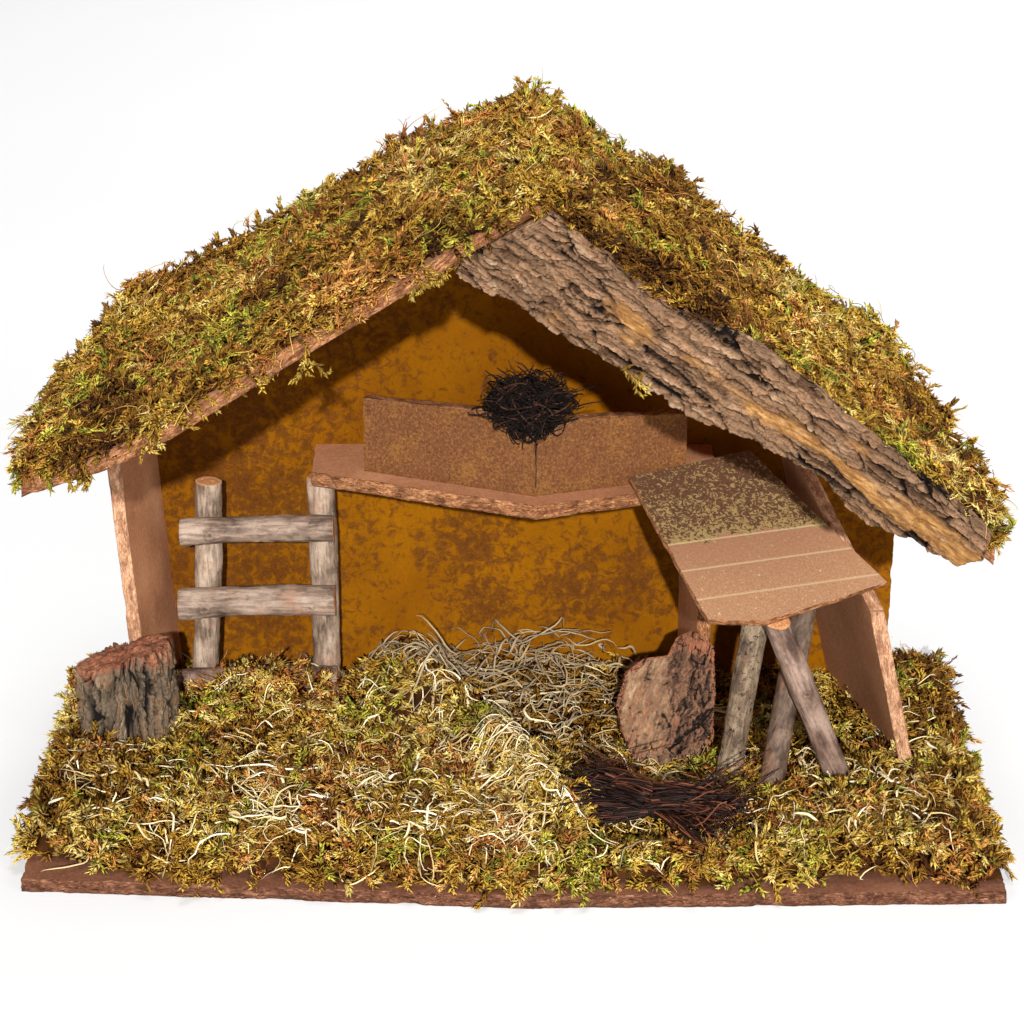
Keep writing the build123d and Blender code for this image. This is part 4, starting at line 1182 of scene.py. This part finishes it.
def moss_mat(name, bed, step, body):
    """The matted bed under the shoots, dark from the painted shade at the moss's roots. body turns places
    and heights into the mat's, nan for none.
    """
    counts = np.ceil((bed.high - bed.low) / step).astype(int)
    lines = [np.linspace(bed.low[k], bed.high[k], counts[k]) for k in (0, 1)]
    flat = np.stack([grid.ravel() for grid in np.meshgrid(*lines, indexing="ij")], 1)
    lifted = body(flat, bed.heights(flat))
    inside = ~np.isnan(lifted)
    i, j = (grid.ravel() for grid in np.meshgrid(*[np.arange(n - 1) for n in counts], indexing="ij"))
    a = i * counts[1] + j
    quads = np.stack((a, a + counts[1], a + counts[1] + 1, a + 1), 1)
    used, quads = np.unique(quads[inside[quads].all(1)], return_inverse=True)
    quads = quads.reshape(-1, 4)
    points = bed.place(flat[used], lifted[used])
    triangles = np.concatenate((quads[:, :3], quads[:, (0, 2, 3)]))
    tone = np.clip(0.1 + 0.1 * noise(points, 3 * MM, 4), 0.01, 0.4)
    # v near the root end of the moss ramp: the mat takes its painted shade
    uv = np.stack((tone, np.clip(0.16 + 0.16 * noise(points, 1.8 * MM, 5), 0.02, 0.4)), 1)
    piece = make_piece(name, points, triangles, [moss], uv=uv)
    for node in bed.nodes:
        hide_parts(node)


def verge_shoots(rng, bed, top, count):
    """Shoots that hang over the roof panel's edges here and there, but not over the ridge."""
    meshes = []
    ridge_x = 8 * MM
    middle = top.mean(axis=0)
    for a, b in zip(top, np.roll(top, -1, 0)):
        if max(abs(a[0] - ridge_x), abs(b[0] - ridge_x)) < MM:
            continue
        here = int(count * np.linalg.norm(b - a) / 0.4)
        if here < 2:
            continue
        share = rng.uniform(0, 1, (here, 1))
        place = a + (b - a) * share
        dense = fractal(place, 22 * MM, 2, 95) + rng.normal(0, 0.25, here) > -0.05
        place = place[dense]
        outward = unit(np.cross(b - a, bed.normal))
        outward = outward if outward @ (a - middle) > 0 else -outward
        kept = len(place)
        roots = place - outward * rng.uniform(0.5, 4, (kept, 1)) * MM
        roots = roots + np.outer(rng.uniform(0.5, 4, kept) * MM, bed.normal)
        forward = outward + 0.5 * rng.normal(0, 1, (kept, 3))
        normals = bed.normal + 0.3 * rng.normal(0, 1, (kept, 3))
        tones = moss_tone(rng, roots, rng.uniform(0, 1, kept), 40 * MM)
        lengths = rng.uniform(5, 10.5, kept) * MM
        meshes.append(fronds(rng, roots, normals, forward, lengths, tones, droop=(0.5, 1.3)))
    points, triangles, uv = joined(*meshes)
    points[:, 1] = np.maximum(points[:, 1], cad_low[1] - 13 * MM)
    return points, triangles, uv


swells = [(-0.2, 0.012, -4 * MM), (-0.158, 0.007, 5 * MM), (-0.118, 0.018, -12 * MM),
          (-0.044, 0.012, 4 * MM), (0.008, 0.009, -8 * MM), (0.024, 0.006, 2 * MM),
          (0.038, 0.012, -8 * MM), (0.062, 0.009, 7 * MM),
          (0.116, 0.013, -6 * MM), (0.19, 0.03, 8 * MM)]


def swell(place):
    """How much thicker or thinner the roof moss is at some places."""
    return sum(rise * np.exp(-((place[:, 0] - x) / wide) ** 2) for x, wide, rise in swells)


def roof_moss(node, board_node, name, rng, count):
    """Moss on one roof panel: a mat with tufts of shoots and thin strings, hanging over the edges."""
    normal, top, bottom = board_faces(board_node)
    if normal[2] < 0:
        normal, top = -normal, bottom
    along = unit(np.cross((0, 1, 0), normal))
    bed = Bed([node], top[0], along, np.cross(normal, along))

    def body(flat, height):
        """Height of the mat: about a third of the moss, lumpy inside."""
        place = bed.place(flat, np.zeros(len(flat)))
        lumps = 3.4 * MM * fractal(place, 19 * MM, 3, 91) + 0.7 * MM * noise(place, 3 * MM, 92)
        level = np.minimum(height, 9 * MM) * 0.26 + smooth(height, 2 * MM, 8 * MM) * (lumps + swell(place))
        return np.where(height > 4 * MM, np.maximum(level, 0.4 * MM), np.nan)

    moss_mat(name + "_mat", bed, 2.2 * MM, body)
    meshes = [verge_shoots(rng, bed, top, 330)]
    for kind, number in (("leafy", count), ("string", count // 6)):
        flat, height = bed.scatter(rng, number)
        away, way, tuft = clumps(rng, flat, 15 * MM)
        dome = np.clip(1 - (away / (9 * MM)) ** 2, -0.5, 1)
        lifted = smooth(height, 1 * MM, 7 * MM) * (0.2 + tuft) * 3.6 * MM * dome
        lifted = lifted + np.nan_to_num(body(flat, height), nan=0.8 * MM)
        lifted = lifted + rng.uniform(-0.6, 1.2, len(flat)) * MM
        spin = rng.uniform(0, 2 * math.pi, len(flat))
        loose = np.stack((np.cos(spin), np.sin(spin)), 1)
        heading = unit(way) * rng.uniform(0.0, 1.2, (len(flat), 1)) + loose * 0.9 + np.array((0.0, -0.3))
        forward = np.outer(heading[:, 0], bed.along) + np.outer(heading[:, 1], bed.across)
        normals = bed.normal[None] + 0.35 * rng.normal(0, 1, (len(flat), 3))
        lengths = rng.uniform(6, 12.5, len(flat)) * MM
        roots = bed.place(flat, lifted)
        tones = moss_tone(rng, roots, tuft, 40 * MM)
        if kind == "string":
            lengths = rng.uniform(9, 19, len(flat)) * MM
            roots = bed.place(flat, lifted + rng.uniform(1, 4, len(flat)) * MM)
            tones = np.where(rng.uniform(0, 1, len(flat)) > 0.7, rng.uniform(0.66, 0.84, len(flat)), tones)
            meshes.append(fronds(rng, roots, normals, forward, lengths, tones, leaves=0, lift=(-0.2, 0.5)))
            continue
        stray = rng.uniform(0, 1, len(flat)) > 0.985
        lengths = np.where(stray, rng.uniform(9, 14, len(flat)) * MM, lengths)
        normals = np.where(stray[:, None], forward + 0.6 * normals, normals)
        forward = np.where(stray[:, None], bed.normal[None] + 0.3 * forward, forward)
        meshes.append(fronds(rng, roots, normals, forward, lengths, tones, bushy=1.1))
    moss_pieces(name, [node], joined(*meshes))
    return bed, body


rng = np.random.default_rng(20)
left_slope = roof_moss("roof_moss_left", "roof_left", "moss_left", rng, 9600)
right_slope = roof_moss("roof_moss_right", "roof_right", "moss_right", rng, 8900)


def hanging_tufts(rng, spots):
    """Loose tufts on the roof's edges: place, way, how many shoots, their length and their tone."""
    meshes = []
    for place, way, count, length, tone in spots:
        roots = np.array(place) + rng.normal(0, 1.6, (count, 3)) * MM
        forward = np.array(way) + rng.normal(0, 0.35, (count, 3))
        normals = np.array((0, -1, 0.3)) + rng.normal(0, 0.4, (count, 3))
        lengths = length * rng.uniform(0.6, 1.15, count)
        tones = np.clip(tone + rng.normal(0, 0.05, count), 0.02, 0.98)
        meshes.append(fronds(rng, roots, normals, forward, lengths, tones, bushy=0.9))
    moss_pieces("moss_tufts", ["roof_moss_left", "roof_moss_right"], joined(*meshes))


hanging_tufts(rng, [((-0.036, -0.080, 0.259), (0.25, -0.2, -0.9), 16, 11 * MM, 0.49),
                    ((-0.029, -0.077, 0.262), (0.5, -0.2, -0.7), 9, 9 * MM, 0.5),
                    ((-0.078, -0.094, 0.231), (0.1, -0.1, -1.0), 6, 10 * MM, 0.48),
                    ((-0.128, -0.106, 0.209), (-0.1, -0.2, -0.8), 5, 7 * MM, 0.52),
                    ((-0.098, -0.099, 0.229), (0.2, -0.2, -0.7), 6, 7 * MM, 0.5),
                    ((-0.165, -0.108, 0.190), (-0.2, -0.2, -0.8), 7, 7 * MM, 0.45),
                    ((0.018, -0.070, 0.272), (0.2, -0.4, -0.7), 8, 7 * MM, 0.5),
                    ((0.046, -0.090, 0.225), (0.0, -0.05, -1.0), 4, 13 * MM, 0.5)])

ground_nodes = ["ground_moss_left", "ground_moss_right", "ground_mound"]
base_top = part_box("base_board")[1][2]
base_normal, base_upper, base_lower = board_faces("base_board")
base_corners = (base_upper if base_normal[2] > 0 else base_lower)[:, :2]
heaps = [((-0.106, 0.045), (0.032, 0.013), 16 * MM), ((-0.176, -0.008), (0.03, 0.017), 4 * MM),
         ((-0.12, 0.015), (0.05, 0.025), 6 * MM), ((-0.14, -0.04), (0.06, 0.03), 5 * MM),
         ((0.185, 0.07), (0.02, 0.04), 5 * MM), ((0.15, -0.06), (0.045, 0.025), 6 * MM),
         ((-0.05, -0.07), (0.05, 0.02), 5 * MM), ((0.08, -0.085), (0.06, 0.015), 4 * MM)]
ridge = [(-0.05, 0.052), (-0.02, 0.009), (0.002, -0.026), (0.02, -0.072)]
hollows = [((0.065, -0.068), (0.045, 0.024), 7 * MM), ((0.046, -0.03), (0.03, 0.04), 8 * MM),
           ((0.03, 0.03), (0.04, 0.03), 7 * MM), ((-0.162, 0.0), (0.024, 0.016), 7 * MM)]


def line_distance(flat, line):
    """Distance in the plan to a line through some points."""
    best = np.full(len(flat), np.inf)
    for a, b in zip(np.array(line[:-1]), np.array(line[1:])):
        share = np.clip(((flat - a) @ (b - a)) / ((b - a) @ (b - a)), 0, 1)
        best = np.minimum(best, np.linalg.norm(flat - a - share[:, None] * (b - a), axis=1))
    return best


def inside_base(flat):
    """True inside the base board's outline."""
    a, b = base_corners, np.roll(base_corners, -1, 0)
    crossings = np.zeros(len(flat), int)
    for (x0, y0), (x1, y1) in zip(a, b):
        if y0 == y1:
            continue
        level = (flat[:, 1] >= min(y0, y1)) & (flat[:, 1] < max(y0, y1))
        crossings += level & (flat[:, 0] < x0 + (flat[:, 1] - y0) * (x1 - x0) / (y1 - y0))
    return crossings % 2 == 1


def hill(flat, x, y, wide, deep):
    """A round hill in the plan, 1 at its middle."""
    return np.exp(-((flat[:, 0] - x) / wide) ** 2 - ((flat[:, 1] - y) / deep) ** 2)


def ground_body(flat, height):
    """Height of the ground mat: heaps and hollows inside, ragged to nothing at the front of the base."""
    place = np.c_[flat, np.zeros(len(flat))]
    ragged = fractal(place, 18 * MM, 4, 101)
    rim = line_distance(flat, list(base_corners) + [base_corners[0]])
    front = line_distance(flat, front_edge) + 13 * MM * ragged - 6 * MM
    front = front - 7 * MM * smooth(-flat[:, 0], 0.13, 0.19)
    margin = np.minimum(rim + 3 * MM * ragged + 2 * MM, front)
    height = np.where(np.isnan(height), np.where(flat[:, 1] < -0.03, 8 * MM, 3 * MM), height)
    lumps = 3.0 * MM * fractal(place, 24 * MM, 3, 102) + 0.8 * MM * noise(place, 4 * MM, 103)
    for (x, y), (wide, deep), rise in heaps:
        lumps = lumps + rise * hill(flat, x, y, wide, deep)
    for (x, y), (wide, deep), fall in hollows:
        lumps = lumps - fall * hill(flat, x, y, wide, deep)
    lumps = lumps + 19 * MM * np.exp(-(line_distance(flat, ridge) / (13 * MM)) ** 2)
    full = np.maximum(0.62 * height + lumps, 0.8 * MM)
    level = 0.5 * MM + smooth(margin, -6 * MM, 11 * MM) * full
    return np.where((margin > 0) & inside_base(flat), level, np.nan)


left_front = base_corners[np.argmin(base_corners @ np.array((1.0, 1.0)))]
right_front = base_corners[np.argmax(base_corners @ np.array((1.0, -1.0)))]
between = [c for c in base_corners if left_front[0] < c[0] < right_front[0] and c[1] < -0.05]
front_edge = [left_front] + sorted(between, key=lambda c: c[0]) + [right_front]


def ground_moss(rng, count):
    """Moss on the base, in tufts and heaps, ragged along the front edge."""
    bed = Bed(ground_nodes, (0, 0, base_top), (1, 0, 0), (0, 1, 0))
    bed.low, bed.high = base_corners.min(0) + MM, base_corners.max(0) - MM
    moss_mat("ground_mat", bed, 2.2 * MM, lambda flat, height: ground_body(flat, height) * 0.8)
    flat = rng.uniform(bed.low, bed.high, (count, 2))
    level = ground_body(flat, bed.heights(flat))
    thin = hill(flat, 0.01, 0.05, 0.07, 0.04)
    kept = ~np.isnan(level) & (rng.uniform(0, 1, len(flat)) > 0.6 * thin)
    flat, level, thin = flat[kept], level[kept], thin[kept]
    away, way, tuft = clumps(rng, flat, 14 * MM)
    dome = np.clip(1 - (away / (9 * MM)) ** 2, -0.4, 1)
    level = level + smooth(level, 1 * MM, 6 * MM) * (0.2 + tuft) * 5.8 * MM * dome * (1 - 0.7 * thin)
    roots = bed.place(flat, level + rng.uniform(-0.6, 1.2, len(flat)) * MM)
    spin = rng.uniform(0, 2 * math.pi, len(flat))
    loose = np.stack((np.cos(spin), np.sin(spin)), 1)
    heading = unit(way) * rng.uniform(0, 1.4, (len(flat), 1)) + loose * 0.8
    normals = UP[None] + 0.5 * rng.normal(0, 1, (len(flat), 3))
    lengths = rng.uniform(6, 12, len(flat)) * MM
    tones = moss_tone(rng, roots, tuft, 40 * MM)
    tones = np.where(tones < 0.55, np.minimum(tones + 0.07, 0.63), tones)
    tones = np.where(thin > 0.5, np.minimum(tones, 0.3), tones)
    heading = np.c_[heading, np.zeros(len(flat))]
    points, triangles, uv = fronds(rng, roots, normals, heading, lengths, tones, bushy=1.25)
    some = rng.permutation(len(roots))[:len(roots) // 9]
    raised = roots[some] + rng.uniform(1, 4, (len(some), 1)) * MM * UP
    strings = fronds(rng, raised, normals[some], heading[some], lengths[some] * 1.4,
                     rng.uniform(0.4, 0.84, len(some)), leaves=0, lift=(-0.2, 0.5))
    points, triangles, uv = joined((points, triangles, uv), strings)
    deep = np.maximum(0.5 * base_top - points[:, 2], 0)
    points[:, 2] += deep - deep / (1 + deep / (2.4 * MM))
    moss_pieces("ground_moss", ground_nodes, (points, triangles, uv))
    return bed


ground = ground_moss(rng, 17000)


# Straw

straw_points = 15


def curly(rng, starts, headings, lengths, wave, curl, points=straw_points):
    """Curly lines in the plan with a wavy height over the ground, as (n, points, 3)."""
    count = len(starts)
    bend = rng.normal(0, 1, (count, 1)) * 0.08 + np.cumsum(rng.normal(0, 0.2, (count, points)), 1) * 0.35
    bend = bend + rng.normal(0, 1.2, (count, points)) * (rng.uniform(0, 1, (count, points)) > 0.86)
    angle = headings[:, None] + np.cumsum(bend, 1) * curl
    step = (lengths / (points - 1))[:, None]
    x = starts[:, :1] + np.cumsum(np.cos(angle) * step, 1)
    y = starts[:, 1:] + np.cumsum(np.sin(angle) * step, 1)
    share = np.linspace(0, 1, points)[None]
    phase = rng.uniform(0, 2 * math.pi, (count, 1))
    turns = rng.uniform(0.3, 1.3, (count, 1))
    z = wave[:, None] * (0.2 + 0.6 * np.sin(phase + 2 * math.pi * turns * share))
    return np.stack((x, y, z), -1)


def straw_piece(name, rng, lines, thick, tones, node):
    """Flat ribbons along lines."""
    taper = np.sin(np.linspace(0.12, math.pi - 0.1, straw_points))[None] ** 0.6
    lean = unit(rng.normal(0, 1, (len(lines), 1, 3)) + np.array((0, 0, 1.2)))
    points, triangles, uv = tubes(lines, thick[:, None] * taper, 5, tones, 0.38, lean)
    piece = make_piece(name, points, triangles, [straw], uv=uv)
    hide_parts(node)


def on_ground(lines, lift):
    """Lines laid over the ground moss, kept inside the base."""
    inside = np.array((base_corners.min(0) + 3 * MM, base_corners.max(0) - 3 * MM))
    inside[1][1] = 0.084
    lines[..., :2] = np.clip(lines[..., :2], inside[0], inside[1])
    spots = lines[..., :2].reshape(-1, 2)
    level = ground_body(spots, np.nan_to_num(ground.heights(spots), nan=3 * MM))
    level = np.nan_to_num(level, nan=0.3 * MM).reshape(lines.shape[:2])
    lines[..., 2] += base_top + level + lift
    lines[..., 2] = np.maximum(lines[..., 2], base_top + 0.5 * MM)
    return lines


def ground_straw(rng, count):
    """Cream fibres mixed into the ground moss, thickest in front of the room and by the right wall."""
    flat, _ = ground.scatter(rng, count * 6)
    place = np.c_[flat, np.zeros(len(flat))]
    chance = 0.1 + 0.2 * fractal(place, 30 * MM, 2, 111)
    for x, y, wide, deep, share in ((-0.05, -0.055, 0.1, 0.05, 0.75), (0.145, -0.045, 0.05, 0.03, 0.5),
                                    (-0.02, -0.02, 0.06, 0.04, 0.3), (-0.15, -0.02, 0.04, 0.06, 0.25)):
        chance = chance + share * hill(flat, x, y, wide, deep)
    kept = np.flatnonzero(rng.uniform(0, 1, len(flat)) < chance)[:count]
    flat = flat[kept]
    lengths = rng.gamma(3, 4.2, len(flat)) * MM + 7 * MM
    wave = rng.uniform(1.5, 5, len(flat)) * MM
    lines = curly(rng, flat, rng.uniform(0, 2 * math.pi, len(flat)), lengths, wave, 0.62)
    lines = on_ground(lines, rng.uniform(2.0, 7.5, (len(flat), 1)) * MM)
    thick = rng.gamma(3, 0.085, len(flat)) * MM + 0.18 * MM
    straw_piece("straw", rng, lines, thick, rng.uniform(0.4, 0.99, len(flat)), "ground_moss_left")


def mound_straw(rng, count):
    """Fibres heaped against the back wall, in darker grey-tan tones as painted shade at the back of the
    room.
    """
    x = rng.normal(0.005, 0.05, count)
    y = 0.083 - abs(rng.normal(0, 0.028, count)) * np.interp(x, (-0.05, 0.03), (0.7, 1.8))
    flat = np.stack((x, y), 1)
    rise = np.exp(-((x - 0.006) / 0.055) ** 2) * smooth(y, 0.02, 0.08)
    lengths = rng.uniform(14, 38, count) * MM
    wave = rng.uniform(1, 5, count) * MM
    lines = curly(rng, flat, rng.uniform(0, 2 * math.pi, count), lengths, wave, 0.45)
    share = np.linspace(0, 1, straw_points)[None]
    tilt = rng.uniform(-0.35, 0.7, (count, 1)) * share * lengths[:, None] * 0.5
    lift = rng.uniform(0.0, 1.0, (count, 1)) * (4 + 21 * rise)[:, None] * MM + np.maximum(tilt, 0)
    lines = on_ground(lines, lift)
    thick = rng.uniform(0.4, 0.78, count) * MM
    # tones from the grey-tan end of the straw colours: painted shade
    straw_piece("mound_straw", rng, lines, thick, rng.uniform(0.08, 0.35, count), "ground_mound")


def roof_straw(rng):
    """A few fibres caught in the roof moss."""
    slopes = ((left_slope, 16, "roof_moss_left"), (right_slope, 10, "roof_moss_right"))
    for number, ((bed, body), count, node) in enumerate(slopes):
        flat, height = bed.scatter(rng, count * 2)
        flat, height = flat[:count], height[:count]
        lengths = rng.uniform(9, 20, len(flat)) * MM
        wave = np.full(len(flat), 1.5 * MM)
        lines = curly(rng, flat, rng.uniform(0, 2 * math.pi, len(flat)), lengths, wave, 0.8)
        level = (np.nan_to_num(body(flat, height)) + 4.5 * MM)[:, None] + lines[..., 2]
        path = bed.place(lines[..., :2].reshape(-1, 2), level.ravel()).reshape(lines.shape)
        straw_piece(f"roof_straw_{number + 1}", rng, path, rng.uniform(0.25, 0.5, len(flat)) * MM,
                    rng.uniform(0.4, 0.95, len(flat)), node)


ground_straw(rng, 1150)
mound_straw(rng, 400)
roof_straw(rng)


# Nest

def nest(rng, count):
    """A dense tangle of dark curled fibres in an oval, with some standing out of it."""
    low, high = (np.array(v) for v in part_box("nest"))
    middle = (low + high) / 2 + np.array((-3, 1, 3)) * MM
    half = (high - low) / 2 * np.array((0.88, 0.9, 0.92))
    points = 12
    place = unit(rng.normal(0, 1, (count, 3))) * rng.uniform(0.02, 0.8, (count, 1)) ** 0.5
    heading = unit(np.cross(place, rng.normal(0, 1, (count, 3))) + 0.7 * rng.normal(0, 1, (count, 3)))
    bend = rng.normal(0, 0.15, (count, 3))
    step = rng.uniform(0.05, 0.11, (count, 1))
    loose = (rng.uniform(0, 1, (count, 1)) > 0.92) & (place[:, 2:] > -0.3)
    lines = [place]
    for _ in range(points - 1):
        far = np.linalg.norm(place, axis=1, keepdims=True)
        pull = np.where(loose, -0.25, np.clip(far - 0.72, 0, 1) * 1.2)
        heading = unit(heading + bend + rng.normal(0, 0.12, (count, 3)) - place * pull)
        place = place + heading * step
        lines.append(place)
    lines = np.stack(lines, 1)
    lines[..., 0] *= 1 - 0.5 * np.clip(-lines[..., 2], 0, 1)
    lines = middle + lines * half
    thick = rng.uniform(0.26, 0.56, (count, 1)) * MM * np.linspace(1, 0.5, points)[None]
    mesh = tubes(lines, thick, 5, rng.uniform(0.0, 1, count) ** 2.6)
    piece = make_piece("nest_fibres", mesh[0], mesh[1], [nest_fibre], uv=mesh[2])
    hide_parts("nest")


nest(rng, 900)


# Brushwood bundle

def bundle(rng, count):
    """Thin twigs drawn in at the tie and fanned out at the ends, with a wire tie."""
    points, _ = node_mesh("brushwood_bundle")
    low, high = (np.array(v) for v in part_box("bundle_tie"))
    waist = (low + high) / 2
    flat = points[:, :2] - points[:, :2].mean(0)
    axis = np.r_[np.linalg.svd(flat, full_matrices=False)[2][0], 0]
    axis = axis if axis[0] > 0 else -axis
    side = np.cross(UP, axis)
    along = (points - waist) @ axis
    first, last = along.min(), along.max()
    steps = 18
    stations = np.linspace(0, 1, steps)
    start = first + rng.uniform(2, 28, count) * MM
    end = last + rng.uniform(-42, 3, count) * MM
    s = start[:, None] + (end - start)[:, None] * stations[None]
    fan = np.where(s < 0, np.abs(s / first), np.abs(s / last))
    wide = 6.2 * MM + np.where(s < 0, 19 * MM, 28 * MM) * fan ** 0.95
    tall = 5.2 * MM + 6.5 * MM * fan
    disc = np.sqrt(rng.uniform(0, 1, count))
    turn = rng.uniform(0, 2 * math.pi, count)
    beat, phase = rng.uniform(2, 7, (2, count, 1)), rng.uniform(0, 2 * math.pi, (2, count, 1))
    wander = np.cumsum(np.cumsum(rng.normal(0, 0.02, (2, count, steps)), 2), 2)
    wander = wander + 0.4 * np.sin(phase + beat * stations)
    p = (disc * np.cos(turn))[:, None] + wander[0] * fan
    q = (disc * np.sin(turn))[:, None] + wander[1] * fan + 0.2 * fan ** 2
    p = p + rng.normal(0, 0.6, (count, 1)) * (fan * np.sign(s)) ** 2 * np.sign(s)
    p = np.tanh(p - np.where(s > 0, 0.22, 0.05) * fan)
    yaw = rng.normal(0, 0.17, (count, 1))
    loops = count // 4
    t = np.linspace(0, math.pi, steps)[None]
    reach = np.where(rng.uniform(0, 1, (loops, 1)) > 0.4, last, first) * rng.uniform(0.35, 0.9, (loops, 1))
    begin = rng.uniform(-0.1, 0.2, (loops, 1)) * reach
    s[:loops] = begin + reach * np.sin(t * rng.uniform(0.7, 1.0, (loops, 1)))
    p[:loops] = rng.uniform(-0.6, 0.4, (loops, 1)) - rng.uniform(0.1, 0.5, (loops, 1)) * np.cos(t)
    q[:loops] = rng.uniform(0.5, 1.0, (loops, 1)) + 0.25 * np.sin(2 * t)
    lines = waist + axis * s[..., None] + side * (p * wide + s * yaw)[..., None] + UP * (q * tall)[..., None]
    ahead = np.maximum(waist[1] - 18 * MM - lines[..., 1], 0)
    lines[..., 1] += ahead - 17 * MM * np.tanh(ahead / (17 * MM))
    lines[..., 2] = np.maximum(lines[..., 2] - 0.12 * ahead, base_top + 7 * MM)
    over = np.maximum(lines[..., 2] - waist[2] - 11 * MM, 0)
    lines[..., 2] -= over - 8 * MM * np.tanh(over / (8 * MM))
    thick = rng.uniform(0.22, 0.52, (count, 1)) * MM * np.linspace(1.0, 0.6, steps)[None]
    mesh = tubes(lines, thick, 6, rng.uniform(0.0, 1, count) ** 1.3)
    piece = make_piece("brushwood_twigs", mesh[0], mesh[1], [brushwood], uv=mesh[2])
    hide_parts("brushwood_bundle")
    wire_steps = 90
    turns = np.linspace(0, 2 * math.pi * 3.2, wire_steps)
    pitch = np.linspace(-1.6, 1.6, wire_steps) * MM + 0.3 * MM * np.sin(turns * 0.7)
    coil = (waist + np.outer(pitch, axis) + np.outer(np.cos(turns) * 7.4 * MM, side) +
            np.outer(np.sin(turns) * 6.2 * MM, UP))
    mesh = tubes(coil[None], np.full((1, wire_steps), 0.45 * MM), 8, np.array((0.1,)))
    tie = make_piece("bundle_wire", mesh[0], mesh[1], [tie_wire], uv=mesh[2])
    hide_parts("bundle_tie")


bundle(rng, 420)


# Stage, light and camera

floor_glow = 0.28
sky_stops = ((0.14, 1.0), (0.22, 0.12))
sun_strength = 5.0
sun_angle = 0.02
sun_way = (-0.02, 1, -0.44)
area_lights = (("fill_left", (-1.1, -1.2, 0.9), (0, 0, 0.1), 0.6, 5),
               ("fill_right", (1.1, -1.2, 0.9), (0, 0, 0.1), 0.6, 8),
               ("top", (0, -0.5, 2.2), (0, -0.05, 0), 1.0, 24),
               ("back", (0.4, 1.7, 1.1), (0, 0, 0.1), 0.8, 12))

floor_material = Shader("floor", roughness=0.9, specular=0.1)
floor_cloud = floor_material.noise(0.6, 2, 0.5)
floor_tones = colour_stops((0.3, 186, 186, 186), (0.7, 190, 190, 190))
floor_material.finish(floor_material.ramp(floor_cloud, floor_tones))
floor_material.surface.inputs["Emission Color"].default_value = (1, 1, 1, 1)
floor_material.surface.inputs["Emission Strength"].default_value = floor_glow
floor_mesh = bpy.data.meshes.new("floor")
floor_mesh.from_pydata([(-6, -6, 0), (6, -6, 0), (6, 6, 0), (-6, 6, 0)], [], [(0, 1, 2, 3)])
floor_mesh.materials.append(floor_material.material)
floor = bpy.data.objects.new("floor", floor_mesh)
bpy.context.scene.collection.objects.link(floor)

world = bpy.data.worlds.new("studio")
world.use_nodes = True
sky = world.node_tree.nodes
direction = sky.new("ShaderNodeTexCoord")
split = sky.new("ShaderNodeSeparateXYZ")
level = sky.new("ShaderNodeValToRGB")
for element, (place, grey) in zip(level.color_ramp.elements, sky_stops):
    element.position = place
    element.color = (grey, grey, grey, 1)
world.node_tree.links.new(direction.outputs["Generated"], split.inputs[0])
world.node_tree.links.new(split.outputs["Z"], level.inputs[0])
world.node_tree.links.new(level.outputs[0], sky["Background"].inputs["Color"])
sky["Background"].inputs["Strength"].default_value = 1.0
bpy.context.scene.world = world


def area_light(name, place, target, size, watts):
    """A soft square light aimed at a point."""
    light = bpy.data.lights.new(name, "AREA")
    light.size = size
    light.energy = watts
    lamp = bpy.data.objects.new(name, light)
    lamp.location = place
    lamp.rotation_euler = (Vector(target) - Vector(place)).to_track_quat("-Z", "Y").to_euler()
    bpy.context.scene.collection.objects.link(lamp)


key = bpy.data.lights.new("key", "SUN")
key.energy = sun_strength
key.angle = sun_angle
key_lamp = bpy.data.objects.new("key", key)
key_lamp.rotation_euler = Vector(sun_way).to_track_quat("-Z", "Y").to_euler()
bpy.context.scene.collection.objects.link(key_lamp)
for name, place, target, size, watts in area_lights:
    area_light(name, place, target, size, watts)

camera = bpy.data.objects.new("camera", bpy.data.cameras.new("camera"))
camera.location = camera_place
camera.rotation_euler = (math.radians(camera_pitch), 0, 0)
camera.data.lens = camera_lens
bpy.context.scene.collection.objects.link(camera)
bpy.context.scene.camera = camera
bpy.context.scene.view_settings.view_transform = "Standard"
